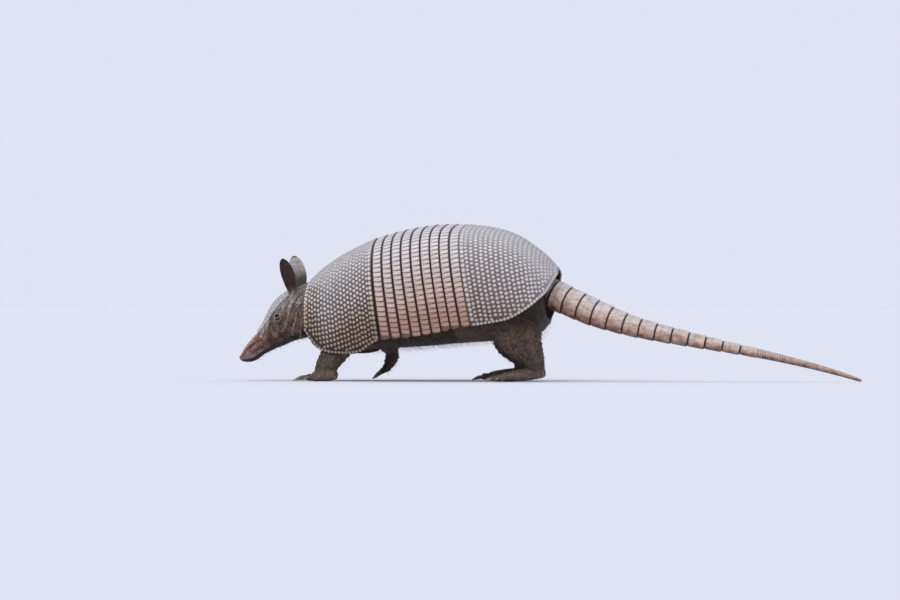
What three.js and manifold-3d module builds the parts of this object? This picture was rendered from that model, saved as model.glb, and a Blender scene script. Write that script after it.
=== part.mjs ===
// Nine-banded armadillo at life size, walking: head lowered, ears raised, tail trailing to the floor.
// Millimetres, +Z up. It faces -X with its left side towards -Y, and stands on Z = 0.
// The origin lies on the floor, half way between the snout tip and the tail tip.

import * as THREE from 'three';
import Module from 'manifold-3d';

const wasm = await Module();
wasm.setup();

// ---------------------------------------------------------------- driving dimensions
const TOTAL_LENGTH = 753;           // snout tip to tail tip, along X
const SNOUT_TIP_X = -TOTAL_LENGTH / 2;
const TAIL_TIP_X = TOTAL_LENGTH / 2;
const GAP = 0.35;                   // clearance between neighbouring solids

const PLATE = 2.6;                  // thickness of the shell
const SHOULDER_FRONT = -288;        // stations along the ridge of the back
const BANDS_FRONT = -205;
const BANDS_REAR = -95;
const PELVIC_REAR = 14.5;
const BAND_COUNT = 9;
const BAND_LIP = 0.7;               // how far a band's rear edge stands over the next band
const BOW_REACH = 28;               // the seams bow back within this distance of the ridge

const SHIELD_PLATE = 1.1;           // thickness of the horny plate on the head
const SHIELD_FRONT = 33;            // its ends, by distance back from the snout tip
const SHIELD_REAR = 97;
const SHIELD_REACH = 38;            // how far down from the crown it comes at its ends, in degrees
const SHIELD_WIDENING = 14;         // and how much further half way
const EAR_WALL = 1.3;
const EYE_RADIUS = 3.9;
const EYE_STATION = 73;             // distance back from the snout tip, and angle down from the crown
const EYE_ANGLE = 69;
const EYE_SINK = 2.7;

const TAIL_RINGS = 13;
const RING_FRONT = 7.3;             // first and last ring seams, along X
const RING_REAR = 254.7;
const RING_LIP = 0.9;
const RING_GROWTH = 30;             // how much the rings lengthen towards the tip
const TIP_CUT = 1.5;                // the tail's blunt end starts this far before its tip

// The shell by station along its ridge: x, height of the ridge, height of the lower margin, half width,
// depth from the ridge to the widest level, lean of the section (degrees), bow of the seam at the ridge.
const SHELL = [
  [SHOULDER_FRONT, 122, 62, 36, 40, 0.5, 4],
  [-281, 128.5, 50, 41, 46, 1.5, 3.5],
  [-274, 135, 40, 45, 50, 2, 3.2],
  [-266, 141, 34.5, 49, 55, 3, 3],
  [-250, 151.5, 32, 56, 60, 5, 2.5],
  [-230, 162, 34, 62, 64, 6, 2.3],
  [-218, 167.5, 42, 64.5, 65.5, 6.2, 2.4],
  [BANDS_FRONT, 173, 48.5, 67, 66, 6.7, 2.6],
  [-173, 182, 52, 70, 68, 8, 4.5],
  [-137, 188, 57.5, 72, 69, 8.8, 6.3],
  [-109, 189, 63.6, 73, 70, 9, 7.5],
  [-80, 187, 67.5, 74, 70, 9.6, 6.5],
  [-52, 182, 73.5, 73, 69, 10.2, 4.5],
  [-31, 173.4, 84.7, 68, 68, 11, 2.5],
  [-14, 162, 96, 60, 66, 10.5, 1],
  [1, 150, 108, 49, 62, 9, 0.5],
  [PELVIC_REAR, 136, 129, 33, 58, 6, 0],
];
const MARGIN_TUCK = 9;              // how far the lower margin turns in, over the depth of the side
const LEAST_SIDE = 40;              // depth of side over which the tuck is spread at least

// The flesh under the shell by ridge station: x, height where the flank leaves the shell, height of
// the belly.
const TRUNK = [
  [-268, 64, 35],
  [-240, 56, 37],
  [BANDS_FRONT, 56, 38.5],
  [-160, 59, 41.5],
  [-109, 67, 45.5],
  [-80, 71, 47.5],
  [-50, 77, 49],
  [-28, 88, 54],
  [-10, 99, 66],
  [2, 112, 84],
];

// The head by distance back from the snout tip: station, top point x and z, bottom point x and z, half width.
const HEAD = [
  [1.5, -375.2, 30.5, -370, 22.6, 4.8],
  [6, -372.6, 35.5, -363.5, 22, 7.2],
  [14, -367.6, 43.5, -355.5, 24.2, 8.2],
  [28, -357.6, 54.5, -344.5, 32, 9.4],
  [40, -350.4, 64, -335, 36.5, 11.6],
  [55, -343.4, 77, -322.5, 41.8, 16],
  [70, -336.4, 90, -310, 47, 21],
  [82, -328, 99.5, -301, 50, 24.2],
  [92, -319, 106, -295, 51, 25.2],
  [102, -310, 110, -289.5, 52, 24.6],
];
const HEAD_REAR = 102;
const NECK = [
  [0, -309.3, 110.4, -288.6, 50.5, 24.8],
  [20, -292, 118.5, -284, 42, 28],
  [40, -270.5, 122, -270.5, 34, 36],
];

// The tail by x: height and sideways place of its centre line, radius.
const TAIL = [
  [-14, 114, 4, 20.5],
  [16, 100.2, -1, 18],
  [50, 85.4, -7, 16.9],
  [66, 79.2, -9.6, 15.9],
  [101, 67.2, -13.8, 12.8],
  [140, 57.6, -17, 10.6],
  [180, 49.2, -18.4, 8.6],
  [220, 41.2, -18.4, 6.8],
  [265, 32, -16.6, 5.4],
  [314, 20.4, -12, 4.2],
  [350, 10.4, -7, 3.2],
  [TAIL_TIP_X, 1.8, -2.6, 2],
];

// ---------------------------------------------------------------- materials
const material = (color, roughness) => new THREE.MeshStandardMaterial({ color, roughness, metalness: 0 });
const scute = material(0xa79d97, 0.6);
const bandHorn = material(0xb9a796, 0.55);
const tailHorn = material(0xb8957f, 0.6);
const skin = material(0x6b5a52, 0.8);
const darkSkin = material(0x35281f, 0.8);
const earSkin = material(0x54463f, 0.75);
const clawHorn = material(0x6e6153, 0.45);
const eyeBlack = material(0x0b0908, 0.1);

const model = new THREE.Group();

// ---------------------------------------------------------------- small tools
const radians = THREE.MathUtils.degToRad;
const sinDegrees = (a) => Math.sin(radians(a));
const cosDegrees = (a) => Math.cos(radians(a));
const mix = THREE.MathUtils.lerp;
const steps = (from, to, count) => Array.from({ length: count + 1 }, (_, i) => mix(from, to, i / count));

// A smooth curve through rows that start with their place along it; it returns the other columns there.
function curveThrough(rows) {
  const last = rows.length - 1;
  const slope = (i, k) => {
    const before = rows[Math.max(i - 1, 0)];
    const after = rows[Math.min(i + 1, last)];
    return (after[k] - before[k]) / (after[0] - before[0]);
  };
  return (at) => {
    let i = 0;
    while (i < last - 1 && rows[i + 1][0] < at) i += 1;
    const span = rows[i + 1][0] - rows[i][0];
    const t = (at - rows[i][0]) / span;
    const inside = THREE.MathUtils.clamp(t, 0, 1);
    return rows[i].slice(1).map((value, column) => {
      const k = column + 1;
      const h = inside * inside * (3 - 2 * inside);
      const curve = mix(value, rows[i + 1][k], h)
        + span * slope(i, k) * inside * (1 - inside) ** 2
        - span * slope(i + 1, k) * inside ** 2 * (1 - inside);
      return curve + (t - inside) * span * slope(t < 0 ? i : i + 1, k);
    });
  };
}

// A closed solid from points and triangles, turned so that its faces point out.
function solidFrom(points, triangles) {
  const volume = triangles.reduce((sum, [a, b, c]) =>
    sum + points[a].dot(new THREE.Vector3().crossVectors(points[b], points[c])), 0);
  const facing = volume < 0 ? triangles.map(([a, b, c]) => [a, c, b]) : triangles;
  const mesh = new wasm.Mesh({
    numProp: 3,
    vertProperties: new Float32Array(points.flatMap((p) => p.toArray())),
    triVerts: new Uint32Array(facing.flat()),
  });
  mesh.merge();
  return new wasm.Manifold(mesh);
}

// A solid through closed rings with equal numbers of points, its ends closed by fans.
function loft(rings) {
  const sides = rings[0].length;
  const points = rings.flat();
  const triangles = [];
  for (let i = 0; i < rings.length - 1; i += 1) {
    for (let j = 0; j < sides; j += 1) {
      const a = i * sides + j;
      const b = i * sides + (j + 1) % sides;
      triangles.push([a, b, b + sides], [a, b + sides, a + sides]);
    }
  }
  [0, rings.length - 1].forEach((i) => {
    const middle = rings[i].reduce((sum, p) => sum.add(p), new THREE.Vector3()).divideScalar(sides);
    const hub = points.push(middle) - 1;
    for (let j = 0; j < sides; j += 1) {
      const a = i * sides + j;
      const b = i * sides + (j + 1) % sides;
      triangles.push(i === 0 ? [hub, b, a] : [hub, a, b]);
    }
  });
  return solidFrom(points, triangles);
}

// A curved wall between an outer and an inner grid of points, closed along its four edges.
function wall(outer, inner) {
  const rows = outer.length;
  const columns = outer[0].length;
  const points = [...outer.flat(), ...inner.flat()];
  const under = rows * columns;
  const triangles = [];
  const quad = (a, b, c, d) => triangles.push([a, b, c], [a, c, d]);
  for (let i = 0; i < rows - 1; i += 1) {
    for (let j = 0; j < columns - 1; j += 1) {
      const a = i * columns + j;
      quad(a, a + 1, a + 1 + columns, a + columns);
      quad(under + a, under + a + columns, under + a + 1 + columns, under + a + 1);
    }
    const left = i * columns;
    const right = left + columns - 1;
    quad(left, left + columns, under + left + columns, under + left);
    quad(right, under + right, under + right + columns, right + columns);
  }
  for (let j = 0; j < columns - 1; j += 1) {
    const rear = (rows - 1) * columns + j;
    quad(j, under + j, under + j + 1, j + 1);
    quad(rear, rear + 1, under + rear + 1, under + rear);
  }
  return solidFrom(points, triangles);
}

// What is left of a cut solid apart from loose scraps.
const largest = (solid) => solid.decompose().sort((a, b) => b.volume() - a.volume())[0];

function addPart(name, solid, finish) {
  const { vertProperties, triVerts } = solid.getMesh();
  const geometry = new THREE.BufferGeometry();
  geometry.setAttribute('position', new THREE.BufferAttribute(new Float32Array(vertProperties), 3));
  geometry.setIndex(new THREE.BufferAttribute(new Uint32Array(triVerts), 1));
  geometry.computeVertexNormals();
  const mesh = new THREE.Mesh(geometry, finish);
  mesh.name = name;
  model.add(mesh);
}

// ---------------------------------------------------------------- the shell's surface
const shellAt = curveThrough(SHELL);

// Half a section of the shell in its own leaning plane, from the ridge down to the margin or a given
// height: points of half width y, depth d below the ridge and length s along the arch.
function halfSection(x, lowest) {
  const [ridge, margin, halfWidth, crown, lean] = shellAt(x);
  const depth = (ridge - (lowest ?? margin)) / cosDegrees(lean);
  const fullSide = (ridge - margin) / cosDegrees(lean) - crown;
  const samples = 64;
  const section = [{ y: 0, d: 0, s: 0 }];
  for (let i = 1; i <= samples; i += 1) {
    const d = depth * (i / samples) ** 2;
    const y = d < crown
      ? halfWidth * Math.sqrt(1 - ((crown - d) / crown) ** 2)
      : halfWidth - MARGIN_TUCK * ((d - crown) / Math.max(fullSide, LEAST_SIDE)) ** 2;
    const before = section[i - 1];
    section.push({ y, d, s: before.s + Math.hypot(y - before.y, d - before.d) });
  }
  return section;
}

// A point of the shell: ridge station, share of the way from the ridge (0) to the left (-1) or right (1)
// margin, and lift out from the surface.
function shellPoint(x, across, lift, lowest) {
  const [ridge, , , , lean, bow] = shellAt(x);
  const section = halfSection(x, lowest);
  const s = Math.abs(across) * section.at(-1).s;
  let i = 1;
  while (i < section.length - 1 && section[i].s < s) i += 1;
  const [a, b] = [section[i - 1], section[i]];
  const t = (s - a.s) / (b.s - a.s);
  const tangent = across === 0 ? [1, 0] : [(b.y - a.y) / (b.s - a.s), (b.d - a.d) / (b.s - a.s)];
  const y = mix(a.y, b.y, t) + lift * tangent[1];
  const d = mix(a.d, b.d, t) - lift * tangent[0];
  const bowed = bow * (1 - Math.exp(-((s / BOW_REACH) ** 2)));
  return new THREE.Vector3(
    x + d * sinDegrees(lean) - bowed,
    Math.sign(across) * y,
    ridge - d * cosDegrees(lean),
  );
}

// A length of the shell through ridge stations, each with a lift; grow thickens it all round.
function shellLength(stations, columns, grow = 0) {
  const across = steps(-1, 1, columns);
  const reach = (x, v, lift) => {
    const point = shellPoint(x, v, lift);
    if (Math.abs(v) === 1) point.z -= grow;
    return point;
  };
  const grid = (inward) => stations.map(([x, lift]) =>
    across.map((v) => reach(x, v, lift + (inward ? -PLATE - grow : grow))));
  return wall(grid(false), grid(true));
}

const SHOULDER_STATIONS = [SHOULDER_FRONT, -284, -277, -267, -252, -235, -219, BANDS_FRONT - GAP];
const PELVIC_STATIONS = [BANDS_REAR, -76, -57, -40, -25, -11, 1, 9, PELVIC_REAR];
const withLift = (stations) => stations.map((x) => [x, 0]);
const SHIELD_COLUMNS = 18;
const BAND_COLUMNS = 16;

function makeShell() {
  addPart('shield_shoulder', shellLength(withLift(SHOULDER_STATIONS), SHIELD_COLUMNS), scute);
  const pitch = (BANDS_REAR - BANDS_FRONT) / BAND_COUNT;
  for (let k = 0; k < BAND_COUNT; k += 1) {
    const front = BANDS_FRONT + k * pitch;
    const stations = [[front, -BAND_LIP], [front + pitch - GAP, 0]];
    addPart(`band_${k + 1}`, shellLength(stations, BAND_COLUMNS), bandHorn);
  }
  addPart('shield_pelvic', shellLength(withLift(PELVIC_STATIONS), SHIELD_COLUMNS), scute);
}

// ---------------------------------------------------------------- trunk
const trunkAt = curveThrough(TRUNK);

// The body inside the shell and the belly below it; grow swells it for cutting its neighbours.
function trunkSolid(grow) {
  const inset = PLATE + BAND_LIP + 4 * GAP;
  const underBands = steps(BANDS_FRONT, BANDS_REAR, 5);
  const stations = [-268, -250, -228, ...underBands, -76, -57, -40, -25, -11, -4];
  const rumpTaper = [2.5, 5];
  const rings = stations.map((x, i) => {
    const [flank, belly] = trunkAt(x);
    const taper = rumpTaper[i - stations.length + rumpTaper.length] ?? 0;
    const arch = steps(-1, 1, 12).map((v) => shellPoint(x, v, grow - inset - taper, flank));
    const edge = arch.at(-1);
    const under = steps(0, 1, 6).slice(1, -1).map((t) => new THREE.Vector3(
      mix(edge.x, arch[0].x, t),
      edge.y * Math.cos(Math.PI * t),
      flank - (flank - belly + grow) * Math.sin(Math.PI * t),
    ));
    return [...arch, ...under];
  });
  rings[0].forEach((p) => { p.x -= grow; });
  return loft(rings);
}

// ---------------------------------------------------------------- head and neck
// A ring of the head or neck: its top and bottom points carry an ellipse as wide as the row says.
function headPoint(along, angle, lift) {
  const [topX, topZ, bottomX, bottomZ, halfWidth] = along;
  const middle = new THREE.Vector3((topX + bottomX) / 2, 0, (topZ + bottomZ) / 2);
  const up = new THREE.Vector3(topX - bottomX, 0, topZ - bottomZ);
  const half = up.length() / 2;
  up.normalize();
  return middle
    .addScaledVector(up, (half + lift) * cosDegrees(angle))
    .add(new THREE.Vector3(0, (halfWidth + lift) * sinDegrees(angle), 0));
}

const headAt = curveThrough(HEAD);
const neckAt = curveThrough(NECK);
const ringOf = (along, sides, lift) => steps(0, 360, sides).slice(0, -1)
  .map((angle) => headPoint(along, angle, lift));

function headSolid(lift) {
  const stations = [1.5, 6, 14, 24, 35, 45, 55, 65, 75, 86, HEAD_REAR];
  const rings = stations.map((u) => ringOf(headAt(u), 16, lift));
  const nose = new THREE.Vector3(SNOUT_TIP_X, 0, 26);
  const tip = ringOf(headAt(1.5), 16, lift).map((p) => p.lerp(nose, 0.75).setX(SNOUT_TIP_X));
  return loft([tip, ...rings]);
}

const neckSolid = (grow) => loft([-grow, 10, 20, 30, 40].map((u) => ringOf(neckAt(u), 16, grow)));

function eyePlace(side) {
  const onHead = headPoint(headAt(EYE_STATION), EYE_ANGLE, -EYE_SINK);
  return onHead.setY(side * onHead.y);
}

function ball(centre, radius) {
  const rings = steps(10, 170, 6).map((polar) => steps(0, 360, 10).slice(0, -1).map((turn) =>
    new THREE.Vector3(
      sinDegrees(polar) * cosDegrees(turn),
      cosDegrees(polar),
      sinDegrees(polar) * sinDegrees(turn),
    ).multiplyScalar(radius).add(centre)));
  return loft(rings);
}

function makeHead() {
  const eyes = [-1, 1].map((side) => ball(eyePlace(side), EYE_RADIUS));
  const sockets = [-1, 1].map((side) => ball(eyePlace(side), EYE_RADIUS + GAP));
  const head = headSolid(0).subtract(sockets[0]).subtract(sockets[1]);
  addPart('head', head, skin);
  addPart('eye_left', eyes[0], eyeBlack);
  addPart('eye_right', eyes[1], eyeBlack);

  const rows = [SHIELD_FRONT, 45, 55, 65, 75, 86, SHIELD_REAR];
  const share = (u) => (u - SHIELD_FRONT) / (SHIELD_REAR - SHIELD_FRONT);
  const reach = (u) => SHIELD_REACH + SHIELD_WIDENING * Math.sin(Math.PI * share(u));
  const across = (u, lift) => steps(-1, 1, 6).map((v) => headPoint(headAt(u), v * reach(u), lift));
  const grid = (lift) => rows.map((u) => across(u, lift));
  addPart('head_shield', wall(grid(GAP + SHIELD_PLATE), grid(GAP)), scute);

  addPart('neck', neckSolid(0), skin);
}

// ---------------------------------------------------------------- ears
// An ear is a cupped leaf on a rolled base: share of its height, half width, depth of the cup, half angle.
const EAR = [
  [0, 5.4, 5.4, 150],
  [0.16, 6.6, 5.6, 128],
  [0.34, 9.8, 5.4, 92],
  [0.55, 11.6, 4.6, 76],
  [0.75, 11, 3.6, 70],
  [0.9, 8.6, 2.5, 66],
  [1, 3.6, 1.5, 60],
];

function earSolid(base, tip, facing) {
  const axis = new THREE.Vector3().subVectors(tip, base);
  const upward = axis.clone().normalize();
  const open = facing.clone().addScaledVector(upward, -facing.dot(upward)).normalize();
  const across = new THREE.Vector3().crossVectors(upward, open);
  const at = curveThrough(EAR);
  const grid = (thinner) => steps(0, 1, 7).map((t) => {
    const [halfWidth, cup, halfAngle] = at(t);
    return steps(-halfAngle, halfAngle, 7).map((angle) => base.clone()
      .addScaledVector(axis, t)
      .addScaledVector(across, Math.max(halfWidth - thinner, 0.5) * sinDegrees(angle))
      .addScaledVector(open, -(cup - thinner) * cosDegrees(angle)));
  });
  return wall(grid(0), grid(EAR_WALL));
}

function makeEars() {
  const clearHead = headSolid(GAP);
  const left = earSolid(
    new THREE.Vector3(-307.5, -13.5, 105),
    new THREE.Vector3(-320, -20.5, 146.8),
    new THREE.Vector3(-0.55, -1, 0),
  );
  const right = earSolid(
    new THREE.Vector3(-302, 13.5, 105),
    new THREE.Vector3(-314.5, 22, 150.5),
    new THREE.Vector3(-0.4, 1, 0),
  );
  const clearNeck = neckSolid(GAP);
  addPart('ear_left', largest(left.subtract(clearHead).subtract(clearNeck)), earSkin);
  addPart('ear_right', largest(right.subtract(clearHead).subtract(clearNeck)), earSkin);
}

// ---------------------------------------------------------------- tail
const tailAt = curveThrough(TAIL);

function tailRing(x, lift, sides = 12) {
  const place = (at) => {
    const [z, y] = tailAt(at);
    return new THREE.Vector3(at, y, z);
  };
  const [, , radius] = tailAt(x);
  const along = place(x + 0.5).sub(place(x - 0.5)).normalize();
  const side = new THREE.Vector3(-along.y, along.x, 0).normalize();
  const up = new THREE.Vector3().crossVectors(along, side);
  return steps(0, 360, sides).slice(0, -1).map((turn) => place(x)
    .addScaledVector(side, (radius + lift) * cosDegrees(turn))
    .addScaledVector(up, (radius + lift) * sinDegrees(turn)));
}

// The first length of the tail, as far back as a place on X; grow swells it for cutting its neighbours.
const tailRootSolid = (grow, rear = RING_FRONT - GAP) =>
  loft([-14 - grow, -4, rear].map((x) => tailRing(x, grow)));

// The rings lengthen a little towards the tip.
const ringSeam = (k) => {
  const share = k / TAIL_RINGS;
  return mix(RING_FRONT, RING_REAR, share) - RING_GROWTH * share * (1 - share);
};

function makeTail() {
  addPart('tail_root', tailRootSolid(0), skin);
  for (let k = 0; k < TAIL_RINGS; k += 1) {
    const front = ringSeam(k);
    const rear = ringSeam(k + 1) - GAP;
    const rings = [[front, -RING_LIP / 2], [(front + rear) / 2, 0], [rear, RING_LIP / 2]]
      .map(([x, lift]) => tailRing(x, lift));
    addPart(`tail_ring_${k + 1}`, loft(rings), tailHorn);
  }
  const end = TAIL_TIP_X - TIP_CUT;
  const length = [RING_REAR, 280, 305, 330, 350, 366, end].map((x) => tailRing(x, 0, 10));
  const point = tailRing(end, -TIP_CUT, 10).map((p) => p.setX(TAIL_TIP_X));
  addPart('tail_tip', aboveFloor(loft([...length, point])), tailHorn);
}

// ---------------------------------------------------------------- legs
// A limb through rows of x, y, z, radius fore and aft, radius sideways.
function limb(rows, sides, rounds) {
  const keyed = rows.map((row, i) => [i, ...row]);
  const at = curveThrough(keyed);
  const centre = (i) => new THREE.Vector3(...at(i).slice(0, 3));
  const rings = steps(0, rows.length - 1, rounds).map((i) => {
    const along = centre(i + 0.05).sub(centre(i - 0.05)).normalize();
    const side = new THREE.Vector3(0, 1, 0).addScaledVector(along, -along.y).normalize();
    const fore = new THREE.Vector3().crossVectors(side, along);
    const [, , , depth, width] = at(i);
    return steps(0, 360, sides).slice(0, -1).map((turn) => centre(i)
      .addScaledVector(fore, depth * cosDegrees(turn))
      .addScaledVector(side, width * sinDegrees(turn)));
  });
  return loft(rings);
}

function aboveFloor(solid) {
  const reach = 1000;
  const corners = (z) => [[-1, -1], [1, -1], [1, 1], [-1, 1]]
    .map(([x, y]) => new THREE.Vector3(x * reach, y * reach, z));
  return solid.subtract(loft([corners(-reach), corners(0)]));
}

// Toes from the inner to the outer one: sideways place on the foot, reach past its front, claw length.
const FRONT_TOES = [[9.5, 5, 9], [3.6, 9, 17], [-3.6, 8.5, 16], [-9.8, 3, 8]];
const HIND_TOES = [[13, 4, 8], [7, 9, 12], [0, 11, 13], [-7, 8.5, 11], [-12.6, 2, 7]];

const LEGS = {
  leg_front_left: {
    side: -1, x: -264, y: -40, yaw: 4, width: 12.5, toes: FRONT_TOES,
    heel: [-13, 8.5], ball: [13, 5.2], toePitch: 5, clawPitch: 12,
    upper: [[-229, -29, 80, 20, 12], [-239, -31, 56, 18.5, 12], [-251, -33, 36, 16.5, 11.5],
      [-261, -37, 20, 13.5, 11.5], [-265, -39.5, 9, 12, 10.5]],
  },
  leg_front_right: {
    side: 1, x: -199, y: 43, yaw: -4, width: 11.5, toes: FRONT_TOES,
    heel: [-4, 33], ball: [2, 18], toePitch: 58, clawPitch: 34,
    upper: [[-224, 33, 80, 20, 12], [-216, 37, 62, 16, 12], [-205, 41, 47, 12, 11.5],
      [-198, 43, 36, 9.5, 11], [-198, 43, 27, 7, 8]],
  },
  leg_hind_left: {
    side: -1, x: -23, y: -47, yaw: 8, width: 14.5, toes: HIND_TOES,
    heel: [-23, 11.5], ball: [23, 5.2], toePitch: 6, clawPitch: 14,
    upper: [[-30, -34, 100, 28, 13], [-32, -41, 72, 31, 15.5], [-22, -46, 48, 26, 16],
      [-9, -48, 28, 13.5, 13], [-6, -47, 16, 10, 11], [-7, -47, 8, 7.5, 9]],
  },
  leg_hind_right: {
    side: 1, x: -54, y: 46, yaw: -6, width: 14.5, toes: HIND_TOES,
    heel: [-23, 8.5], ball: [23, 5.2], toePitch: 6, clawPitch: 14,
    upper: [[-38, 34, 100, 28, 13], [-48, 41, 72, 29, 15.5], [-50, 45, 48, 23, 16],
      [-39, 47, 27, 13, 13], [-37, 46, 15, 10, 11], [-38, 46, 7, 7.5, 9]],
  },
};

const TOE_RADIUS = 4.2;
const CLAW_ROOT = 2.5;              // length of a claw inside its toe
const CLAW_REST = 0.45;             // least height of a claw's middle line

// Places a point of a foot: forward, towards the body's middle line, and up from the floor.
function onFoot({ side, x, y, yaw }, forward, inward, up) {
  const turned = new THREE.Vector3(-forward, -side * inward, up);
  turned.applyAxisAngle(new THREE.Vector3(0, 0, 1), radians(yaw));
  return turned.add(new THREE.Vector3(x, y, 0));
}

// A step along a foot's own line: a pitch in degrees below the level, and a length.
const alongFoot = ([forward, up], pitch, length) =>
  [forward + length * cosDegrees(pitch), up - length * sinDegrees(pitch)];

function footSolid(leg) {
  const { heel, ball, width, toes, toePitch } = leg;
  const row = ([forward, up], inward, depth, across) =>
    [...onFoot(leg, forward, inward, up).toArray(), depth, across];
  const between = (t) => [mix(heel[0], ball[0], t), mix(heel[1], ball[1], t)];
  const sole = limb([
    row(between(-0.1), 0, 4.6, width * 0.4),
    row(heel, 0, 7.5, width * 0.62),
    row(between(0.3), 0, 8.2, width * 0.8),
    row(between(0.65), 0, 7.6, width),
    row(ball, 0, 5.8, width * 0.95),
  ], 8, 6);
  return toes.reduce((foot, [inward, reach]) => foot.add(limb([
    row(between(0.8), inward * 0.8, 4.2, TOE_RADIUS),
    row(alongFoot(ball, toePitch, reach * 0.5), inward, 4.6, TOE_RADIUS),
    row(alongFoot(ball, toePitch, reach - 1.2), inward, 3.8, TOE_RADIUS * 0.86),
    row(alongFoot(ball, toePitch, reach), inward, 2.9, TOE_RADIUS * 0.66),
  ], 6, 3)), sole);
}

// A claw grows out of a socket in its toe's end and curves down to the floor.
function clawSolid(leg, [inward, reach, length], grow) {
  const root = alongFoot(leg.ball, leg.toePitch, reach - CLAW_ROOT);
  const thick = 1.1 + length * 0.11;
  const whole = length + CLAW_ROOT;
  const rows = [
    [-grow, leg.clawPitch, thick],
    [whole * 0.45, leg.clawPitch - 8, thick * 0.85],
    [whole * 0.8, leg.clawPitch - 2, thick * 0.5],
    [whole, leg.clawPitch, 0.7],
  ];
  return limb(rows.map(([reachAlong, pitch, radius]) => {
    const place = onFoot(leg, ...clawPoint(root, pitch, reachAlong, inward));
    return [...place.toArray(), radius + grow, radius * 0.8 + grow];
  }), 6, 3);
}

function clawPoint(root, pitch, reachAlong, inward) {
  const [forward, up] = alongFoot(root, pitch, reachAlong);
  return [forward, inward, Math.max(up, CLAW_REST)];
}

function makeLegs() {
  const neighbours = [
    trunkSolid(GAP),
    tailRootSolid(GAP + RING_LIP, 45),
    shellLength(withLift(SHOULDER_STATIONS), SHIELD_COLUMNS, GAP),
    shellLength(withLift(PELVIC_STATIONS), SHIELD_COLUMNS, GAP),
  ];
  Object.entries(LEGS).forEach(([name, leg]) => {
    const sockets = leg.toes.map((toe) => clawSolid(leg, toe, GAP));
    const whole = limb(leg.upper, 10, 6).add(footSolid(leg));
    const bare = [...neighbours, ...sockets].reduce((rest, other) => rest.subtract(other), whole);
    addPart(name, aboveFloor(largest(bare)), darkSkin);
    leg.toes.forEach((toe, i) => {
      addPart(`claw_${name.slice(4)}_${i + 1}`, aboveFloor(clawSolid(leg, toe, 0)), clawHorn);
    });
  });
}

makeHead();
makeEars();
makeShell();
addPart('trunk', trunkSolid(0).subtract(tailRootSolid(GAP + RING_LIP, 45)), darkSkin);
makeTail();
makeLegs();

export default model;
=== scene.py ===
# Nine-banded armadillo at life size, a still model: the looks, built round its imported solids.
# It faces -X with its left side towards -Y. Shapes are worked out in millimetres and laid down in metres.
import math

import bpy
import numpy as np
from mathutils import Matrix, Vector


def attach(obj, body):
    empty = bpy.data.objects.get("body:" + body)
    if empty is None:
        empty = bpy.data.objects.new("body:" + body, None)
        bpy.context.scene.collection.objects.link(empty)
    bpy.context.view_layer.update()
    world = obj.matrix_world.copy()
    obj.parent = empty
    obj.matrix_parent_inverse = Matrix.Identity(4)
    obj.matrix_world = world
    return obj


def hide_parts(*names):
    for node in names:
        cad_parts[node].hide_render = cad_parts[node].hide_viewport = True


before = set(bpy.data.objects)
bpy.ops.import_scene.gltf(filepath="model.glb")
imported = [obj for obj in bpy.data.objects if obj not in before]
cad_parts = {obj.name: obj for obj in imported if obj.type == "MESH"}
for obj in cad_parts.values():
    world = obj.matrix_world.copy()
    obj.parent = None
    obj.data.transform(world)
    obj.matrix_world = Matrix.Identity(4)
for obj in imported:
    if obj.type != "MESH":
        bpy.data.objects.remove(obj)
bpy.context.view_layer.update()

# ---------------------------------------------------------------- shoulder and pelvic shields
# Each shield is one curved plate of bone under horn, set with round scutes in staggered rows.
# The scutes and the ground between them are pale grey along the back, partly worn and partly painted
# sheen of the sky. Towards the margins the scutes stand out cream on a dark ground.
MM = 0.001
PLATE = 2.6
SCUTE_RISE = 0.62
SHOULDER_FRONT = -288
BANDS_FRONT = -205
BANDS_REAR = -95
PELVIC_REAR = 14.5
GAP = 0.35
BOW_REACH = 28
MARGIN_TUCK = 9
LEAST_SIDE = 40
FULL_ARC = 160
MAP_WIDTH = 340
EDGE_INSET = 2.3
EDGE_PITCH = 4.7

# Ridge station, ridge height, margin height, half width, depth to the widest level, lean, bow of the seam.
SHELL = [
    [SHOULDER_FRONT, 122, 62, 36, 40, 0.5, 4],
    [-281, 128.5, 50, 41, 46, 1.5, 3.5],
    [-274, 135, 40, 45, 50, 2, 3.2],
    [-266, 141, 34.5, 49, 55, 3, 3],
    [-250, 151.5, 32, 56, 60, 5, 2.5],
    [-230, 162, 34, 62, 64, 6, 2.3],
    [-218, 167.5, 42, 64.5, 65.5, 6.2, 2.4],
    [BANDS_FRONT, 173, 48.5, 67, 66, 6.7, 2.6],
    [-173, 182, 52, 70, 68, 8, 4.5],
    [-137, 188, 57.5, 72, 69, 8.8, 6.3],
    [-109, 189, 63.6, 73, 70, 9, 7.5],
    [-80, 187, 67.5, 74, 70, 9.6, 6.5],
    [-52, 182, 73.5, 73, 69, 10.2, 4.5],
    [-31, 173.4, 84.7, 68, 68, 11, 2.5],
    [-14, 162, 96, 60, 66, 10.5, 1],
    [1, 150, 108, 49, 62, 9, 0.5],
    [PELVIC_REAR, 136, 129, 33, 58, 6, 0],
]


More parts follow.
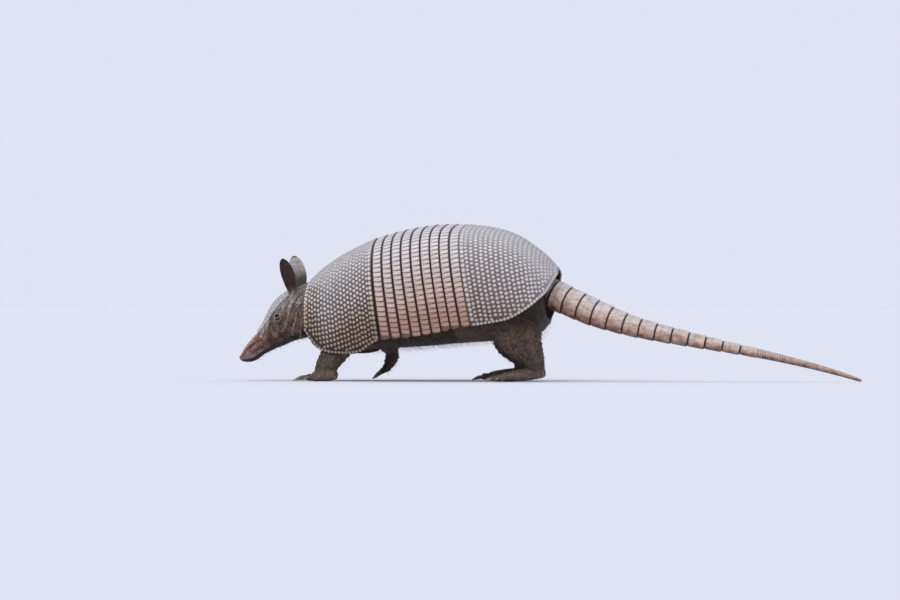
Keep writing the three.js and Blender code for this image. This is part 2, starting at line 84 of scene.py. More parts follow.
def curve_through(rows):
    """A smooth curve through rows that start with their place along it; it gives the other columns there."""
    rows = np.array(rows, float)
    place, columns = rows[:, 0], rows[:, 1:]
    before = np.maximum(np.arange(len(rows)) - 1, 0)
    after = np.minimum(np.arange(len(rows)) + 1, len(rows) - 1)
    slope = (columns[after] - columns[before]) / (place[after] - place[before])[:, None]

    def at(where):
        where = np.asarray(where, float)
        i = np.clip(np.searchsorted(place, where) - 1, 0, len(rows) - 2)
        span = (place[i + 1] - place[i])[..., None]
        t = (where - place[i])[..., None] / span
        inside = np.clip(t, 0, 1)
        h = inside**2 * (3 - 2 * inside)
        curve = columns[i] * (1 - h) + columns[i + 1] * h
        curve = curve + span * slope[i] * inside * (1 - inside) ** 2
        curve = curve - span * slope[i + 1] * inside**2 * (1 - inside)
        return curve + (t - inside) * span * np.where(t < 0, slope[i], slope[i + 1])

    return at


shell_at = curve_through(SHELL)


def half_section(x):
    """Half a section at a ridge station: arc lengths, half widths, depths, and arc length to the margin."""
    ridge, margin, half_width, crown, lean, _ = shell_at(x)
    depth = (ridge - margin) / math.cos(math.radians(lean))
    spare = 4
    d = (depth + spare) * np.linspace(0, 1, 241) ** 2
    dome = half_width * np.sqrt(np.maximum(1 - ((crown - np.minimum(d, crown)) / crown) ** 2, 0))
    side = half_width - MARGIN_TUCK * ((d - crown) / max(depth - crown, LEAST_SIDE)) ** 2
    y = np.where(d < crown, dome, side)
    s = np.concatenate([[0], np.cumsum(np.hypot(np.diff(y), np.diff(d)))])
    return s, y, d, np.interp(depth, d, s)


def margin_arc(x):
    """Arc length from the ridge to the lower margin at each station."""
    return np.array([half_section(at)[3] for at in np.atleast_1d(x)])


def bell(off, width):
    """1 at no distance off, falling softly to either side."""
    return np.exp(-((off / width) ** 2))


def on_shell(x, s, lift=0.0):
    """Points of the shell: ridge stations, arc lengths from the ridge (right is positive), lift outwards."""
    x, s, lift = np.broadcast_arrays(np.asarray(x, float), np.asarray(s, float), np.asarray(lift, float))
    points = np.empty(x.shape + (3,))
    for station in np.unique(x):
        here = x == station
        ridge, _, _, _, lean, bow = shell_at(station)
        arc, width, depth, _ = half_section(station)
        reach = np.abs(s[here])
        y, d, dy, dd = (
            np.interp(reach, arc, line)
            for line in (width, depth, np.gradient(width, arc), np.gradient(depth, arc))
        )
        y = y + lift[here] * dd
        d = d - lift[here] * dy
        bowed = bow * (1 - bell(reach, BOW_REACH))
        lean = math.radians(lean)
        points[here] = np.stack(
            [station + d * math.sin(lean) - bowed, np.sign(s[here]) * y, ridge - d * math.cos(lean)], -1
        )
    return points


def unit(v):
    return v / np.linalg.norm(v, axis=-1, keepdims=True)


def stand_on_shell(x, s):
    """Places on the shell, with the directions across it, forwards and out of it there."""
    step = 0.5
    across = unit(on_shell(x, s + step) - on_shell(x, s - step))
    back = on_shell(np.asarray(x) + step, s) - on_shell(np.asarray(x) - step, s)
    out = unit(np.cross(back, across))
    return on_shell(x, s), across, np.cross(out, across), out


def smooth_step(low, high, value):
    t = np.clip((value - low) / (high - low), 0, 1)
    return t * t * (3 - 2 * t)


def select_only(piece):
    bpy.ops.object.select_all(action="DESELECT")
    piece.select_set(True)
    bpy.context.view_layer.objects.active = piece


def apply_modifiers(piece):
    select_only(piece)
    for modifier in list(piece.modifiers):
        bpy.ops.object.modifier_apply(modifier=modifier.name)


def set_values(piece, **values):
    """Writes a number for each corner of the mesh under a name that the materials read."""
    for name, numbers in values.items():
        layer = piece.data.attributes.get(name) or piece.data.attributes.new(name, "FLOAT", "POINT")
        numbers = np.broadcast_to(np.asarray(numbers, np.float32), len(piece.data.vertices))
        layer.data.foreach_set("value", np.ascontiguousarray(numbers))


def corners_of(piece):
    points = np.empty(len(piece.data.vertices) * 3)
    piece.data.vertices.foreach_get("co", points)
    return points.reshape(-1, 3)


def move_corners(piece, points):
    piece.data.vertices.foreach_set("co", np.ascontiguousarray(points, np.float32).ravel())
    piece.data.update()


def new_grid(name, columns, rows):
    """A flat grid with its map kept, and each corner's place on it from 0 to 1."""
    bpy.ops.object.select_all(action="DESELECT")
    bpy.ops.mesh.primitive_grid_add(x_subdivisions=columns, y_subdivisions=rows, size=1)
    piece = bpy.context.object
    piece.name = piece.data.name = name
    piece.data.uv_layers[0].name = "OFBake"
    return piece, *(corners_of(piece)[:, :2] + 0.5).T


def thicken(piece, thickness):
    solid = piece.modifiers.new("thickness", "SOLIDIFY")
    solid.thickness = thickness * MM
    solid.offset = -1
    apply_modifiers(piece)


def map_by(piece, u, v):
    """Writes the piece's own map from a place for each corner."""
    layer = piece.data.uv_layers.get("OFBake") or piece.data.uv_layers.new(name="OFBake")
    corner = np.empty(len(piece.data.loops), int)
    piece.data.loops.foreach_get("vertex_index", corner)
    layer.uv.foreach_set("vector", np.stack([u[corner], v[corner]], -1).astype(np.float32).ravel())


def shell_plate(name, columns, rows, station, margin, lift, hinge):
    """A length of the shell's ground plate; what shapes it is given by place on the grid."""
    piece, u, v = new_grid(name, columns, rows)
    x = station(v)
    stations, which = np.unique(x, return_inverse=True)
    s = (1 - 2 * u) * (margin_arc(stations)[which] - margin(u, v))
    move_corners(piece, on_shell(x, s, lift(u, v)) * MM)
    set_values(piece, down=np.abs(s) / FULL_ARC, crown=0.0, tone=0.5)
    map_by(piece, 0.5 + s / MAP_WIDTH, 0.02 + 0.9 * v)
    thicken(piece, PLATE - SCUTE_RISE)
    inside = np.ones(len(piece.data.vertices) - len(v))
    set_values(piece, hinge=np.concatenate([hinge(v), inside]))
    return piece


def edit_all():
    bpy.ops.object.mode_set(mode="EDIT")
    bpy.ops.mesh.select_all(action="SELECT")


def end_edit():
    """Turns every face outwards and leaves edit mode."""
    bpy.ops.mesh.select_all(action="SELECT")
    bpy.ops.mesh.normals_make_consistent(inside=False)
    bpy.ops.object.mode_set(mode="OBJECT")


def raise_faces(rise, across, along=None, drift=0):
    """Extrudes the selected faces upwards and draws them in."""
    bpy.ops.mesh.extrude_region_move(TRANSFORM_OT_translate={"value": (drift, 0, rise)})
    bpy.ops.transform.resize(value=(across, along or across, 1))


def round_scute():
    """A low round button: a ring of skirt, a shoulder and a crown."""
    bpy.ops.object.select_all(action="DESELECT")
    bpy.ops.mesh.primitive_circle_add(vertices=12, radius=0.56, fill_type="NGON", location=(0, 0, -0.6))
    edit_all()
    for rise, drawn_in in ((0.75, 0.9), (0.45, 0.86), (0.27, 0.74), (0.1, 0.45)):
        raise_faces(rise, drawn_in)
    bpy.ops.mesh.poke()
    end_edit()
    return bpy.context.object


def take_pattern(piece):
    """The corners and faces of a modelled scute, which then gives way to its copies."""
    select_only(piece)
    bpy.ops.object.transform_apply(location=True, rotation=True, scale=True)
    pattern = corners_of(piece), [tuple(face.vertices) for face in piece.data.polygons]
    bpy.data.objects.remove(piece)
    return pattern


def copies(name, pattern, here, axes, size, values, places=None, crown=(0.1, 0.8)):
    """One mesh of copies of a pattern, each with its own place, directions and size; values are per copy.
    Places lay them on the map: arc lengths, stations and the span up the map. The crown's paleness comes
    in between two heights of the pattern."""
    corners, faces = pattern
    local = corners[None] * size[:, None]
    points = here[:, None] + sum(local[..., k, None] * axes[k][:, None] for k in range(3))
    starts = np.arange(len(here)) * len(corners)
    mesh = bpy.data.meshes.new(name)
    mesh.from_pydata(
        points.reshape(-1, 3) * MM, [], [tuple(i + start for i in face) for start in starts for face in faces]
    )
    mesh.polygons.foreach_set("use_smooth", np.ones(len(mesh.polygons), bool))
    piece = bpy.data.objects.new(name, mesh)
    bpy.context.scene.collection.objects.link(piece)
    set_values(piece, crown=np.tile(smooth_step(*crown, corners[:, 2]), len(here)), hinge=0.0)
    set_values(piece, **{key: np.repeat(each, len(corners)) for key, each in values.items()})
    if places is not None:
        u = (places[0][:, None] + local[..., 0]).ravel()
        v = (places[1][:, None] - local[..., 1]).ravel()
        map_by(piece, 0.5 + u / MAP_WIDTH, places[2] + v * places[3])
    return piece


def joined(name, *pieces):
    bpy.ops.object.select_all(action="DESELECT")
    for piece in pieces:
        piece.select_set(True)
    bpy.context.view_layer.objects.active = pieces[0]
    bpy.ops.object.join()
    pieces[0].name = pieces[0].data.name = name
    return pieces[0]


def smooth_faces(piece, sharpest=50):
    select_only(piece)
    bpy.ops.object.shade_smooth_by_angle(angle=math.radians(sharpest))


def walked_along(line):
    """The distance walked to each point of a line."""
    return np.concatenate([[0], np.cumsum(np.linalg.norm(np.diff(line, axis=0), axis=1))])


def scute_rows(front, rear, spacing, pitch, backwards):
    """Places for a field of scutes, in transverse rows that are half a pitch out of step with each other
    along a line down the flank that crosses every row squarely."""
    x = np.linspace(front, rear, 200)
    walked = walked_along(on_shell(x, 0.55 * margin_arc(x)))
    marks = np.arange(0.46 * spacing, walked[-1], spacing)
    stations = np.interp(walked[-1] - marks if backwards else marks, walked, x)
    rows, crossing = [], 0.55 * margin_arc(stations[0])[0]
    for k, station in enumerate(stations):
        reach = margin_arc(station)[0]
        if k:
            arcs = np.linspace(0, reach, 600)
            crossing = arcs[np.linalg.norm(on_shell(station, arcs) - spot, axis=1).argmin()]
        spot = on_shell(station, crossing)
        fitted = crossing / max(round(crossing / pitch), 1)
        arcs = (np.arange(-60, 61) + 0.5 * (k % 2)) * fitted
        arcs = arcs[np.abs(arcs) < reach - 1]
        rows.append(np.stack([np.full(len(arcs), station), arcs], 1))
    return np.concatenate(rows[1:])


def near_curve(points, curve):
    """The distance from each point to the nearest of a curve's points."""
    return np.min(np.linalg.norm(points[:, None] - curve[None], axis=2), axis=1)


def map_span(front, rear):
    """How stations from front to rear lie up the map: the place of zero, and the share a millimetre takes."""
    return 0.02 - 0.9 * front / (rear - front), 0.9 / (rear - front)


def scute_values(s, rng):
    return {"down": np.abs(s) / FULL_ARC, "tone": rng.random(len(s))}


button = take_pattern(round_scute())


def shield_ground(name, front, rear, rows):
    """The shield's ground plate, its rows closer towards its ends and its edge rolled all round."""
    def lift(u, v):
        edge = np.minimum(np.minimum(v, 1 - v) * (rear - front), np.minimum(u, 1 - u) * 260)
        return -SCUTE_RISE - 0.9 * (1 - smooth_step(0, 1.3, edge)) ** 2

    even = np.linspace(0, 1, rows + 1)
    close = np.interp(even, [0, 0.06, 0.94, 1], [0, 0.02, 0.98, 1])
    return shell_plate(
        name, 150, rows, lambda v: np.interp(v, even, front + close * (rear - front)),
        lambda u, v: 0 * v, lift, lambda v: 0 * v,
    )


def set_buttons(name, x, s, here, axes, size, spread, rng, span, crown=(0.1, 0.8)):
    """Round scutes set in the plate at their stations and arc lengths, their sizes varied over a spread."""
    size[:, :2] *= rng.uniform(*spread, (len(x), 1))
    sunk = here - axes[2] * SCUTE_RISE
    return copies(name, button, sunk, axes, size, scute_values(s, rng), (s, x, *span), crown)


def scute_field(name, front, rear, seam, spacing, pitch, wide, long, margin, rng, span):
    """The field of scutes, clear of the rows along the margin, the far end and the seam."""
    margin_clearance, end_clearance = 5.3, 5.0
    far_end = front if seam == rear else rear
    ends = on_shell(np.full(200, far_end), np.linspace(-1, 1, 200) * margin_arc(far_end))
    places = scute_rows(front, rear, spacing, pitch, backwards=seam == rear)
    x, s = (places + rng.uniform(-0.22, 0.22, places.shape)).T
    here, *axes = stand_on_shell(x, s)
    kept = (near_curve(here, margin) > margin_clearance) & (near_curve(here, ends) > end_clearance)
    kept &= np.abs(x - seam) > spacing * 1.1
    x, s, here, axes = x[kept], s[kept], here[kept], [axis[kept] for axis in axes]
    worn = 0.62 + 0.38 * smooth_step(25, 60, np.abs(s))
    size = np.stack([wide * np.ones(len(x)), long * np.ones(len(x)), SCUTE_RISE * worn], -1)
    return set_buttons(name + "_field", x, s, here, axes, size, (0.9, 1.08), rng, span, (0.25, 0.92))


def seam_row(name, seam, inward, spacing, rng, span):
    """The row along the seam with the bands, each scute almost square."""
    seam_x = seam + inward * (0.4 + 0.5 * spacing)
    s = (np.arange(-40, 40) + 0.5) * 6.0
    s = s[np.abs(s) < margin_arc(seam_x)[0] - 3]
    x = np.full(len(s), float(seam_x))
    here, *axes = stand_on_shell(x, s)
    size = np.tile([5.3, spacing * 0.86, SCUTE_RISE * 0.95], (len(s), 1))
    return set_buttons(name + "_seam", x, s, here, axes, size, (0.95, 1.03), rng, span)


def edge_row(name, x_edge, arc_edge, rim, rng, span):
    """The row along both free margins and round the far end, each scute turned to follow it."""
    x, s, lengthwise = [], [], []
    for side in (-1, 1):
        line = on_shell(x_edge, side * (arc_edge - EDGE_INSET))
        walked = walked_along(line)
        marks = np.arange(4.5, walked[-1] - 1, EDGE_PITCH)
        x += list(np.interp(marks, walked, x_edge))
        s += list(side * (np.interp(marks, walked, arc_edge) - EDGE_INSET))
        ahead, behind = (
            np.stack([np.interp(marks + step, walked, line[:, k]) for k in range(3)], -1) for step in (1, -1)
        )
        lengthwise += list(ahead - behind)
    reach = margin_arc(rim)[0]
    arcs = np.arange(-reach + 4.2, reach - 4, EDGE_PITCH)
    x += [rim] * len(arcs)
    s += list(arcs)
    lengthwise += list(unit(on_shell(rim, arcs + 1) - on_shell(rim, arcs - 1)))
    x, s = np.array(x), np.array(s)
    here, _, _, out = stand_on_shell(x, s)
    first = unit(np.array(lengthwise))
    axes = [first, unit(np.cross(out, first)), out]
    size = np.tile([4.4, 3.8, SCUTE_RISE * 0.8], (len(x), 1))
    return set_buttons(name + "_edge", x, s, here, axes, size, (0.88, 1.06), rng, span)


def make_shield(name, node, front, rear, seam, spacing, pitch, wide, long, rows, seed):
    """A shield's plate with its field of round scutes, a row along the seam and a row along the margin."""
    rng = np.random.default_rng(seed)
    plate = shield_ground(name, front, rear, rows)
    x_edge = np.linspace(front, rear, 160)
    arc_edge = margin_arc(x_edge)
    margin = np.concatenate([on_shell(x_edge, side * arc_edge) for side in (-1, 1)])
    span = map_span(front, rear)
    inward = 1 if seam == front else -1
    rim = (rear if seam == front else front) - inward * EDGE_INSET
    shield = joined(
        name, plate, scute_field(name, front, rear, seam, spacing, pitch, wide, long, margin, rng, span),
        seam_row(name, seam, inward, spacing, rng, span), edge_row(name, x_edge, arc_edge, rim, rng, span),
    )
    smooth_faces(shield)
    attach(shield, "root")
    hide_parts(node)
    return shield


shoulder = make_shield(
    "shoulder_shield", "shield_shoulder", SHOULDER_FRONT, BANDS_FRONT - GAP, BANDS_FRONT - GAP,
    spacing=4.7, pitch=5.8, wide=4.1, long=3.9, rows=44, seed=3,
)
pelvic = make_shield(
    "pelvic_shield", "shield_pelvic", BANDS_REAR, PELVIC_REAR, BANDS_REAR,
    spacing=5.9, pitch=5.2, wide=4.1, long=4.6, rows=56, seed=5,
)


def node(tree, kind, inputs=None, **settings):
    """Adds a shader node; inputs are values or the sockets that feed them."""
    made = tree.nodes.new(kind)
    for key, value in settings.items():
        setattr(made, key, value)
    for key, value in (inputs or {}).items():
        if isinstance(value, bpy.types.NodeSocket):
            tree.links.new(value, made.inputs[key])
        else:
            made.inputs[key].default_value = value
    return made


def colour(red, green, blue):
    """A colour written as on a screen, turned into light."""
    channels = [c / 255 for c in (red, green, blue)]
    return [c / 12.92 if c <= 0.04045 else ((c + 0.055) / 1.055) ** 2.4 for c in channels] + [1.0]


def grey(value):
    return [value, value, value, 1.0]


def ramp(tree, factor, stops, smooth=False):
    """A ramp of tints; a plain number is a grey."""
    made = node(tree, "ShaderNodeValToRGB", {"Fac": factor})
    made.color_ramp.interpolation = "EASE" if smooth else "LINEAR"
    elements = made.color_ramp.elements
    while len(elements) < len(stops):
        elements.new(0.5)
    while len(elements) > len(stops):
        elements.remove(elements[-1])
    for element, (place, tint) in zip(elements, stops):
        element.position = place
        element.color = grey(tint) if isinstance(tint, float) else tint
    return made.outputs["Color"]


def mixed(tree, factor, first, second, blend="MIX"):
    made = node(tree, "ShaderNodeMix", data_type="RGBA", blend_type=blend, clamp_factor=True)
    for socket, value in ((made.inputs[0], factor), (made.inputs[6], first), (made.inputs[7], second)):
        if isinstance(value, bpy.types.NodeSocket):
            tree.links.new(value, socket)
        else:
            socket.default_value = value
    return made.outputs[2]


def maths(tree, operation, *values, clamp=False):
    made = node(tree, "ShaderNodeMath", operation=operation, use_clamp=clamp)
    for socket, value in zip(made.inputs, values):
        if isinstance(value, bpy.types.NodeSocket):
            tree.links.new(value, socket)
        else:
            socket.default_value = value
    return made.outputs[0]


def plus_share(tree, base, extra, share):
    """The base and a share of something else."""
    return maths(tree, "ADD", base, maths(tree, "MULTIPLY", extra, share))


def dimmed(tree, share, base, factor, stops):
    """The base multiplied, by its share, with a ramp."""
    return mixed(tree, share, base, ramp(tree, factor, stops), "MULTIPLY")


def attribute(tree, name, output="Fac"):
    return node(tree, "ShaderNodeAttribute", attribute_name=name).outputs[output]


def own_place(tree):
    return node(tree, "ShaderNodeTexCoord").outputs["Object"]


def stretched(tree, *scale):
    """The object's own place, stretched so that a pattern runs lengthwise."""
    return node(tree, "ShaderNodeMapping", {"Vector": own_place(tree), "Scale": scale}).outputs["Vector"]


def noise(tree, place, scale, detail=2.0, roughness=0.5):
    inputs = {"Vector": place, "Scale": scale, "Detail": detail, "Roughness": roughness}
    return node(tree, "ShaderNodeTexNoise", inputs).outputs["Fac"]


def cell_edges(tree, scale):
    """The distance to the nearest edge of a pattern of irregular cells."""
    inputs = {"Vector": own_place(tree), "Scale": scale}
    return node(tree, "ShaderNodeTexVoronoi", inputs, feature="DISTANCE_TO_EDGE").outputs["Distance"]


def new_material(name, roughness, colour_now, specular=0.4):
    material = bpy.data.materials.new(name)
    material.use_nodes = True
    material.diffuse_color = colour_now
    tree = material.node_tree
    shader = tree.nodes["Principled BSDF"]
    shader.inputs["Roughness"].default_value = roughness
    shader.inputs["Specular IOR Level"].default_value = specular
    return material, tree, shader


def feed(tree, shader, base=None, roughness=None, height=None, strength=0.5, distance=0.0004):
    if base is not None:
        tree.links.new(base, shader.inputs["Base Color"])
    if roughness is not None:
        tree.links.new(roughness, shader.inputs["Roughness"])
    if height is not None:
        bump = node(tree, "ShaderNodeBump", {"Height": height, "Strength": strength, "Distance": distance})
        tree.links.new(bump.outputs["Normal"], shader.inputs["Normal"])


# Horn grain: fine mottling and pits that every horny piece shares.
horn_grain = bpy.data.node_groups.new("horn_grain", "ShaderNodeTree")
horn_grain.interface.new_socket("Size", in_out="INPUT", socket_type="NodeSocketFloat").default_value = 900
horn_grain.interface.new_socket("Mottle", in_out="OUTPUT", socket_type="NodeSocketFloat")
horn_grain.interface.new_socket("Pits", in_out="OUTPUT", socket_type="NodeSocketFloat")
group_in = horn_grain.nodes.new("NodeGroupInput")
group_out = horn_grain.nodes.new("NodeGroupOutput")
place, size = own_place(horn_grain), group_in.outputs["Size"]
broad = noise(horn_grain, place, maths(horn_grain, "MULTIPLY", size, 0.12), 4.0)
horn_grain.links.new(broad, group_out.inputs["Mottle"])
horn_grain.links.new(noise(horn_grain, place, size, 3.0, 0.7), group_out.inputs["Pits"])


def grain(tree, size):
    made = node(tree, "ShaderNodeGroup", node_tree=horn_grain)
    made.inputs["Size"].default_value = size
    return made.outputs["Mottle"], made.outputs["Pits"]


def shell_material(name, ground, crowns, hinge, wear_and_sheen_from, wear_and_sheen_to):
    """Horn that is pale where the scutes stand up and dark between them; ground and crowns are tints from the
    ridge down, and near the ridge the ground is painted as pale as the crowns, partly wear and partly painted
    sheen."""
    material, tree, shader = new_material(name, 0.5, crowns[0][1])
    mottle, pits = grain(tree, 1100)
    uneven = plus_share(tree, attribute(tree, "down"), maths(tree, "SUBTRACT", mottle, 0.5), 0.22)
    low = ramp(tree, uneven, ground)
    high = ramp(tree, uneven, crowns)
    darker = mixed(tree, 1.0, high, grey(0.55), "MULTIPLY")
    high = mixed(tree, maths(tree, "MULTIPLY", attribute(tree, "tone"), 0.24), high, darker)
    crack = ramp(tree, cell_edges(tree, 760.0), [(0.0, 0.55), (0.16, 1.0)])
    low = mixed(tree, 0.75, low, crack, "MULTIPLY")
    # Near the ridge the ground turns as pale as the crowns: partly wear, partly painted sheen of the sky.
    wear_and_sheen = ramp(tree, uneven, [(wear_and_sheen_from, grey(0.30)), (wear_and_sheen_to, grey(0.0))], smooth=True)
    low = mixed(tree, wear_and_sheen, low, high)
    base = mixed(tree, attribute(tree, "crown"), low, high)
    # Joints are dark skin, darkened further as painted shadow under the overlapping edges.
    base = mixed(tree, attribute(tree, "hinge"), base, ramp(tree, uneven, hinge))
    base = dimmed(tree, 0.25, base, mottle, [(0.3, 0.62), (0.7, 1.0)])
    relief = plus_share(tree, maths(tree, "MULTIPLY", pits, 0.35), crack, 0.5)
    feed(tree, shader, base, plus_share(tree, 0.36, pits, 0.26), relief, 0.4, 0.0003)
    return material


shield_joint_and_shadow = [(0.2, colour(96, 84, 82)), (0.5, colour(60, 46, 42))]
shoulder_horn = shell_material(
    "shoulder_horn",
    ground=[(0.0, colour(160, 159, 164)), (0.3, colour(150, 145, 148)), (0.5, colour(130, 120, 120)),
            (0.66, colour(110, 96, 91)), (0.8, colour(76, 57, 46)), (0.95, colour(62, 45, 33))],
    crowns=[(0.0, colour(204, 202, 208)), (0.4, colour(236, 230, 230)), (0.64, colour(236, 224, 217)),
            (0.8, colour(208, 184, 160)), (0.95, colour(176, 150, 125))],
    hinge=shield_joint_and_shadow, wear_and_sheen_from=0.22, wear_and_sheen_to=0.5,
)
pelvic_horn = shell_material(
    "pelvic_horn",
    ground=[(0.0, colour(160, 159, 164)), (0.3, colour(152, 147, 151)), (0.5, colour(144, 134, 135)),
            (0.75, colour(132, 118, 115)), (0.95, colour(108, 90, 82))],
    crowns=[(0.0, colour(204, 202, 208)), (0.4, colour(238, 232, 233)), (0.7, colour(236, 226, 222)),
            (0.95, colour(220, 204, 194))],
    hinge=shield_joint_and_shadow, wear_and_sheen_from=0.22, wear_and_sheen_to=0.5,
)
shoulder.data.materials.append(shoulder_horn)
pelvic.data.materials.append(pelvic_horn)

# The shoulder shield is darker low down towards the neck.
down_so_far = np.empty(len(shoulder.data.vertices), np.float32)
shoulder.data.attributes["down"].data.foreach_get("value", down_so_far)
x, _, z = corners_of(shoulder).T / MM
set_values(shoulder, down=down_so_far + 0.37 * smooth_step(-258, -288, x) * smooth_step(125, 105, z))

# ---------------------------------------------------------------- bands
# Nine movable hoops of bony horn between the shields, each a row of long wedge-shaped scutes whose
# rear edges stand over the next hoop. The joints between them are dark skin, with painted shadow under
# each rear edge.
BAND_COUNT = 9
BAND_LIP = 0.7
BAND_SINK = 0.35
SCUTE_PITCH = 6.0
SCUTE_LENGTH = 10.1
SLIVER_AHEAD = 2.4
band_pitch = (BANDS_REAR - BANDS_FRONT) / BAND_COUNT


def wedge_scute(front_width):
    """A long flat scute, narrower in front, with rounded corners and a rolled edge."""
    bpy.ops.object.select_all(action="DESELECT")
    bpy.ops.mesh.primitive_plane_add(size=1, location=(0, 0, -0.6))
    piece = bpy.context.object
    edit_all()
    bpy.ops.mesh.subdivide(number_cuts=1)
    bpy.ops.object.mode_set(mode="OBJECT")
    for corner in piece.data.vertices:
        forward = 0.5 + corner.co.y
        corner.co.x *= 1 - (1 - front_width) * max(forward * 2 - 1, 0) - 0.06 * (1 - forward)
    edit_all()
    bpy.ops.mesh.dissolve_faces()
    bpy.ops.mesh.bevel(offset=0.13, offset_pct=0, segments=2, affect="VERTICES")
    steps = (0.7, 0.97, 0.99), (0.45, 0.84, 0.95), (0.3, 0.72, 0.92), (0.13, 0.45, 0.84)
    for rise, across, along in steps:
        raise_faces(rise, across, along)
    bpy.ops.mesh.poke()
    end_edit()
    return piece


wedge = take_pattern(wedge_scute(0.56))
sliver = take_pattern(wedge_scute(3.2))


def make_band(k):
    """One hoop: its plate, and a scute for every pitch along the arch."""
    rng = np.random.default_rng(20 + k)
    front = BANDS_FRONT + k * band_pitch + 0.1
    rear = front + band_pitch - GAP

    def lift(u, v):
        edge = np.minimum(v, 1 - v) * band_pitch
        roll = 0.7 * (1 - smooth_step(0, 1.0, edge)) ** 2
        return -SCUTE_RISE - BAND_SINK - BAND_LIP * (1 - v) - roll

    # The front of each hoop is dark skin with painted shadow from the hoop ahead.
    plate = shell_plate(
        f"hoop_{k + 1}", 120, 10, lambda v: front + v * (rear - front),
        lambda u, v: 2.4 * np.abs(2 * v - 1) ** 3, lift, lambda v: 1 - smooth_step(0.1, 0.3, v),
    )
    centre = rear - 0.15 - SCUTE_LENGTH / 2
    reach = margin_arc(centre)[0]
    s = (np.arange(-40, 40) + 0.5) * SCUTE_PITCH
    s = s[np.abs(s) < reach - 2.6]
    s = s + rng.uniform(-0.12, 0.12, len(s))
    x = np.full(len(s), centre)
    here, across, forward, out = stand_on_shell(x, s)
    tilt = math.atan2(BAND_LIP + BAND_SINK, band_pitch)
    leaning = forward * math.cos(tilt) - out * math.sin(tilt)
    raised = np.cross(across, leaning)
    faint = smooth_step(0.80, 0.97, np.abs(s) / reach)
    size = np.stack([5.35 + 0.35 * faint, np.full(len(s), SCUTE_LENGTH), SCUTE_RISE * (1 - 0.35 * faint)], -1)
    size[:, 0] *= rng.uniform(0.96, 1.02, len(s))
    low = here - out * (SCUTE_RISE + BAND_SINK + BAND_LIP * 0.35)
    up_the_map = map_span(front, rear)
    scutes = copies(
        f"hoop_{k + 1}_scutes", wedge, low, [across, leaning, raised], size, scute_values(s, rng),
        (s, x, *up_the_map),
    )
    between, x = s[:-1] + np.diff(s) / 2, x[1:] - SLIVER_AHEAD
    here, across, forward, out = stand_on_shell(x, between)
    leaning = forward * math.cos(tilt) - out * math.sin(tilt)
    size = np.tile([0.95, 4.6, SCUTE_RISE * 0.62], (len(between), 1))
    low = here - out * (SCUTE_RISE + BAND_SINK + BAND_LIP * 0.6)
    slivers = copies(
        f"hoop_{k + 1}_slivers", sliver, low, [across, leaning, np.cross(across, leaning)], size,
        scute_values(between, rng), (between, x, *up_the_map),
    )
    hoop = joined(f"hoop_{k + 1}", plate, scutes, slivers)
    smooth_faces(hoop)
    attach(hoop, "root")
    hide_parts(f"band_{k + 1}")
    return hoop


band_horn = shell_material(
    "band_horn",
    ground=[(0.0, colour(172, 170, 176)), (0.3, colour(168, 161, 163)), (0.5, colour(158, 144, 141)),
            (0.72, colour(147, 120, 108)), (0.95, colour(132, 98, 83))],
    crowns=[(0.0, colour(210, 208, 214)), (0.35, colour(242, 236, 237)), (0.6, colour(242, 227, 221)),
            (0.8, colour(236, 208, 192)), (0.95, colour(204, 162, 142))],
    hinge=[(0.1, colour(112, 102, 102)), (0.4, colour(82, 62, 56)), (0.6, colour(66, 45, 38))],
    wear_and_sheen_from=0.08, wear_and_sheen_to=0.3,
)
for k in range(BAND_COUNT):
    make_band(k).data.materials.append(band_horn)

# ---------------------------------------------------------------- tail
# Thirteen rings of bony horn sheathe the thick part of the tail, each one's rear lip standing over the
# skin in front of the next. Each holds two rows of flat scutes, worn almost smooth.
TAIL_TIP_X = 376.5
RING_COUNT = 13
RING_FRONT = 7.3
RING_REAR = 254.7
RING_GROWTH = 30
RING_LIP = 0.9
RING_SCUTE = 5.4

# Place on X, height and sideways place of the centre line, radius.
TAIL = [
    [-14, 114, 4, 20.5],
    [16, 100.2, -1, 18],
    [50, 85.4, -7, 16.9],
    [66, 79.2, -9.6, 15.9],
    [101, 67.2, -13.8, 12.8],
    [140, 57.6, -17, 10.6],
    [180, 49.2, -18.4, 8.6],
    [220, 41.2, -18.4, 6.8],
    [265, 32, -16.6, 5.4],
    [314, 20.4, -12, 4.2],
    [350, 10.4, -7, 3.2],
    [TAIL_TIP_X, 1.8, -2.6, 2],
]
tail_at = curve_through(TAIL)


def tail_point(x, turn, lift):
    """Points round the tail: 90 degrees is up and 180 is the left side."""
    def line(at):
        z, y, _ = np.moveaxis(tail_at(at), -1, 0)
        return np.stack([at, y, z], -1)

    along = unit(line(x + 0.5) - line(x - 0.5))
    side = unit(np.stack([-along[..., 1], along[..., 0], 0 * x], -1))
    up = np.cross(along, side)
    reach = (tail_at(x)[..., 2] + lift)[..., None]
    turn = np.radians(turn)[..., None]
    return line(x) + reach * (np.cos(turn) * side + np.sin(turn) * up)


def rolled(name, around, along, surface, values=None):
    """A grid rolled into a tube and closed at its ends; surface gives each corner from its place on it."""
    piece, u, v = new_grid(name, around, along)
    move_corners(piece, surface(u, v) * MM)
    if values:
        set_values(piece, **values(u, v))
    select_only(piece)
    edit_all()
    bpy.ops.mesh.remove_doubles(threshold=2e-6)
    bpy.ops.mesh.fill_holes(sides=0)
    end_edit()
    return piece


def ring_seam(k):
    share = k / RING_COUNT
    return RING_FRONT + (RING_REAR - RING_FRONT) * share - RING_GROWTH * share * (1 - share)


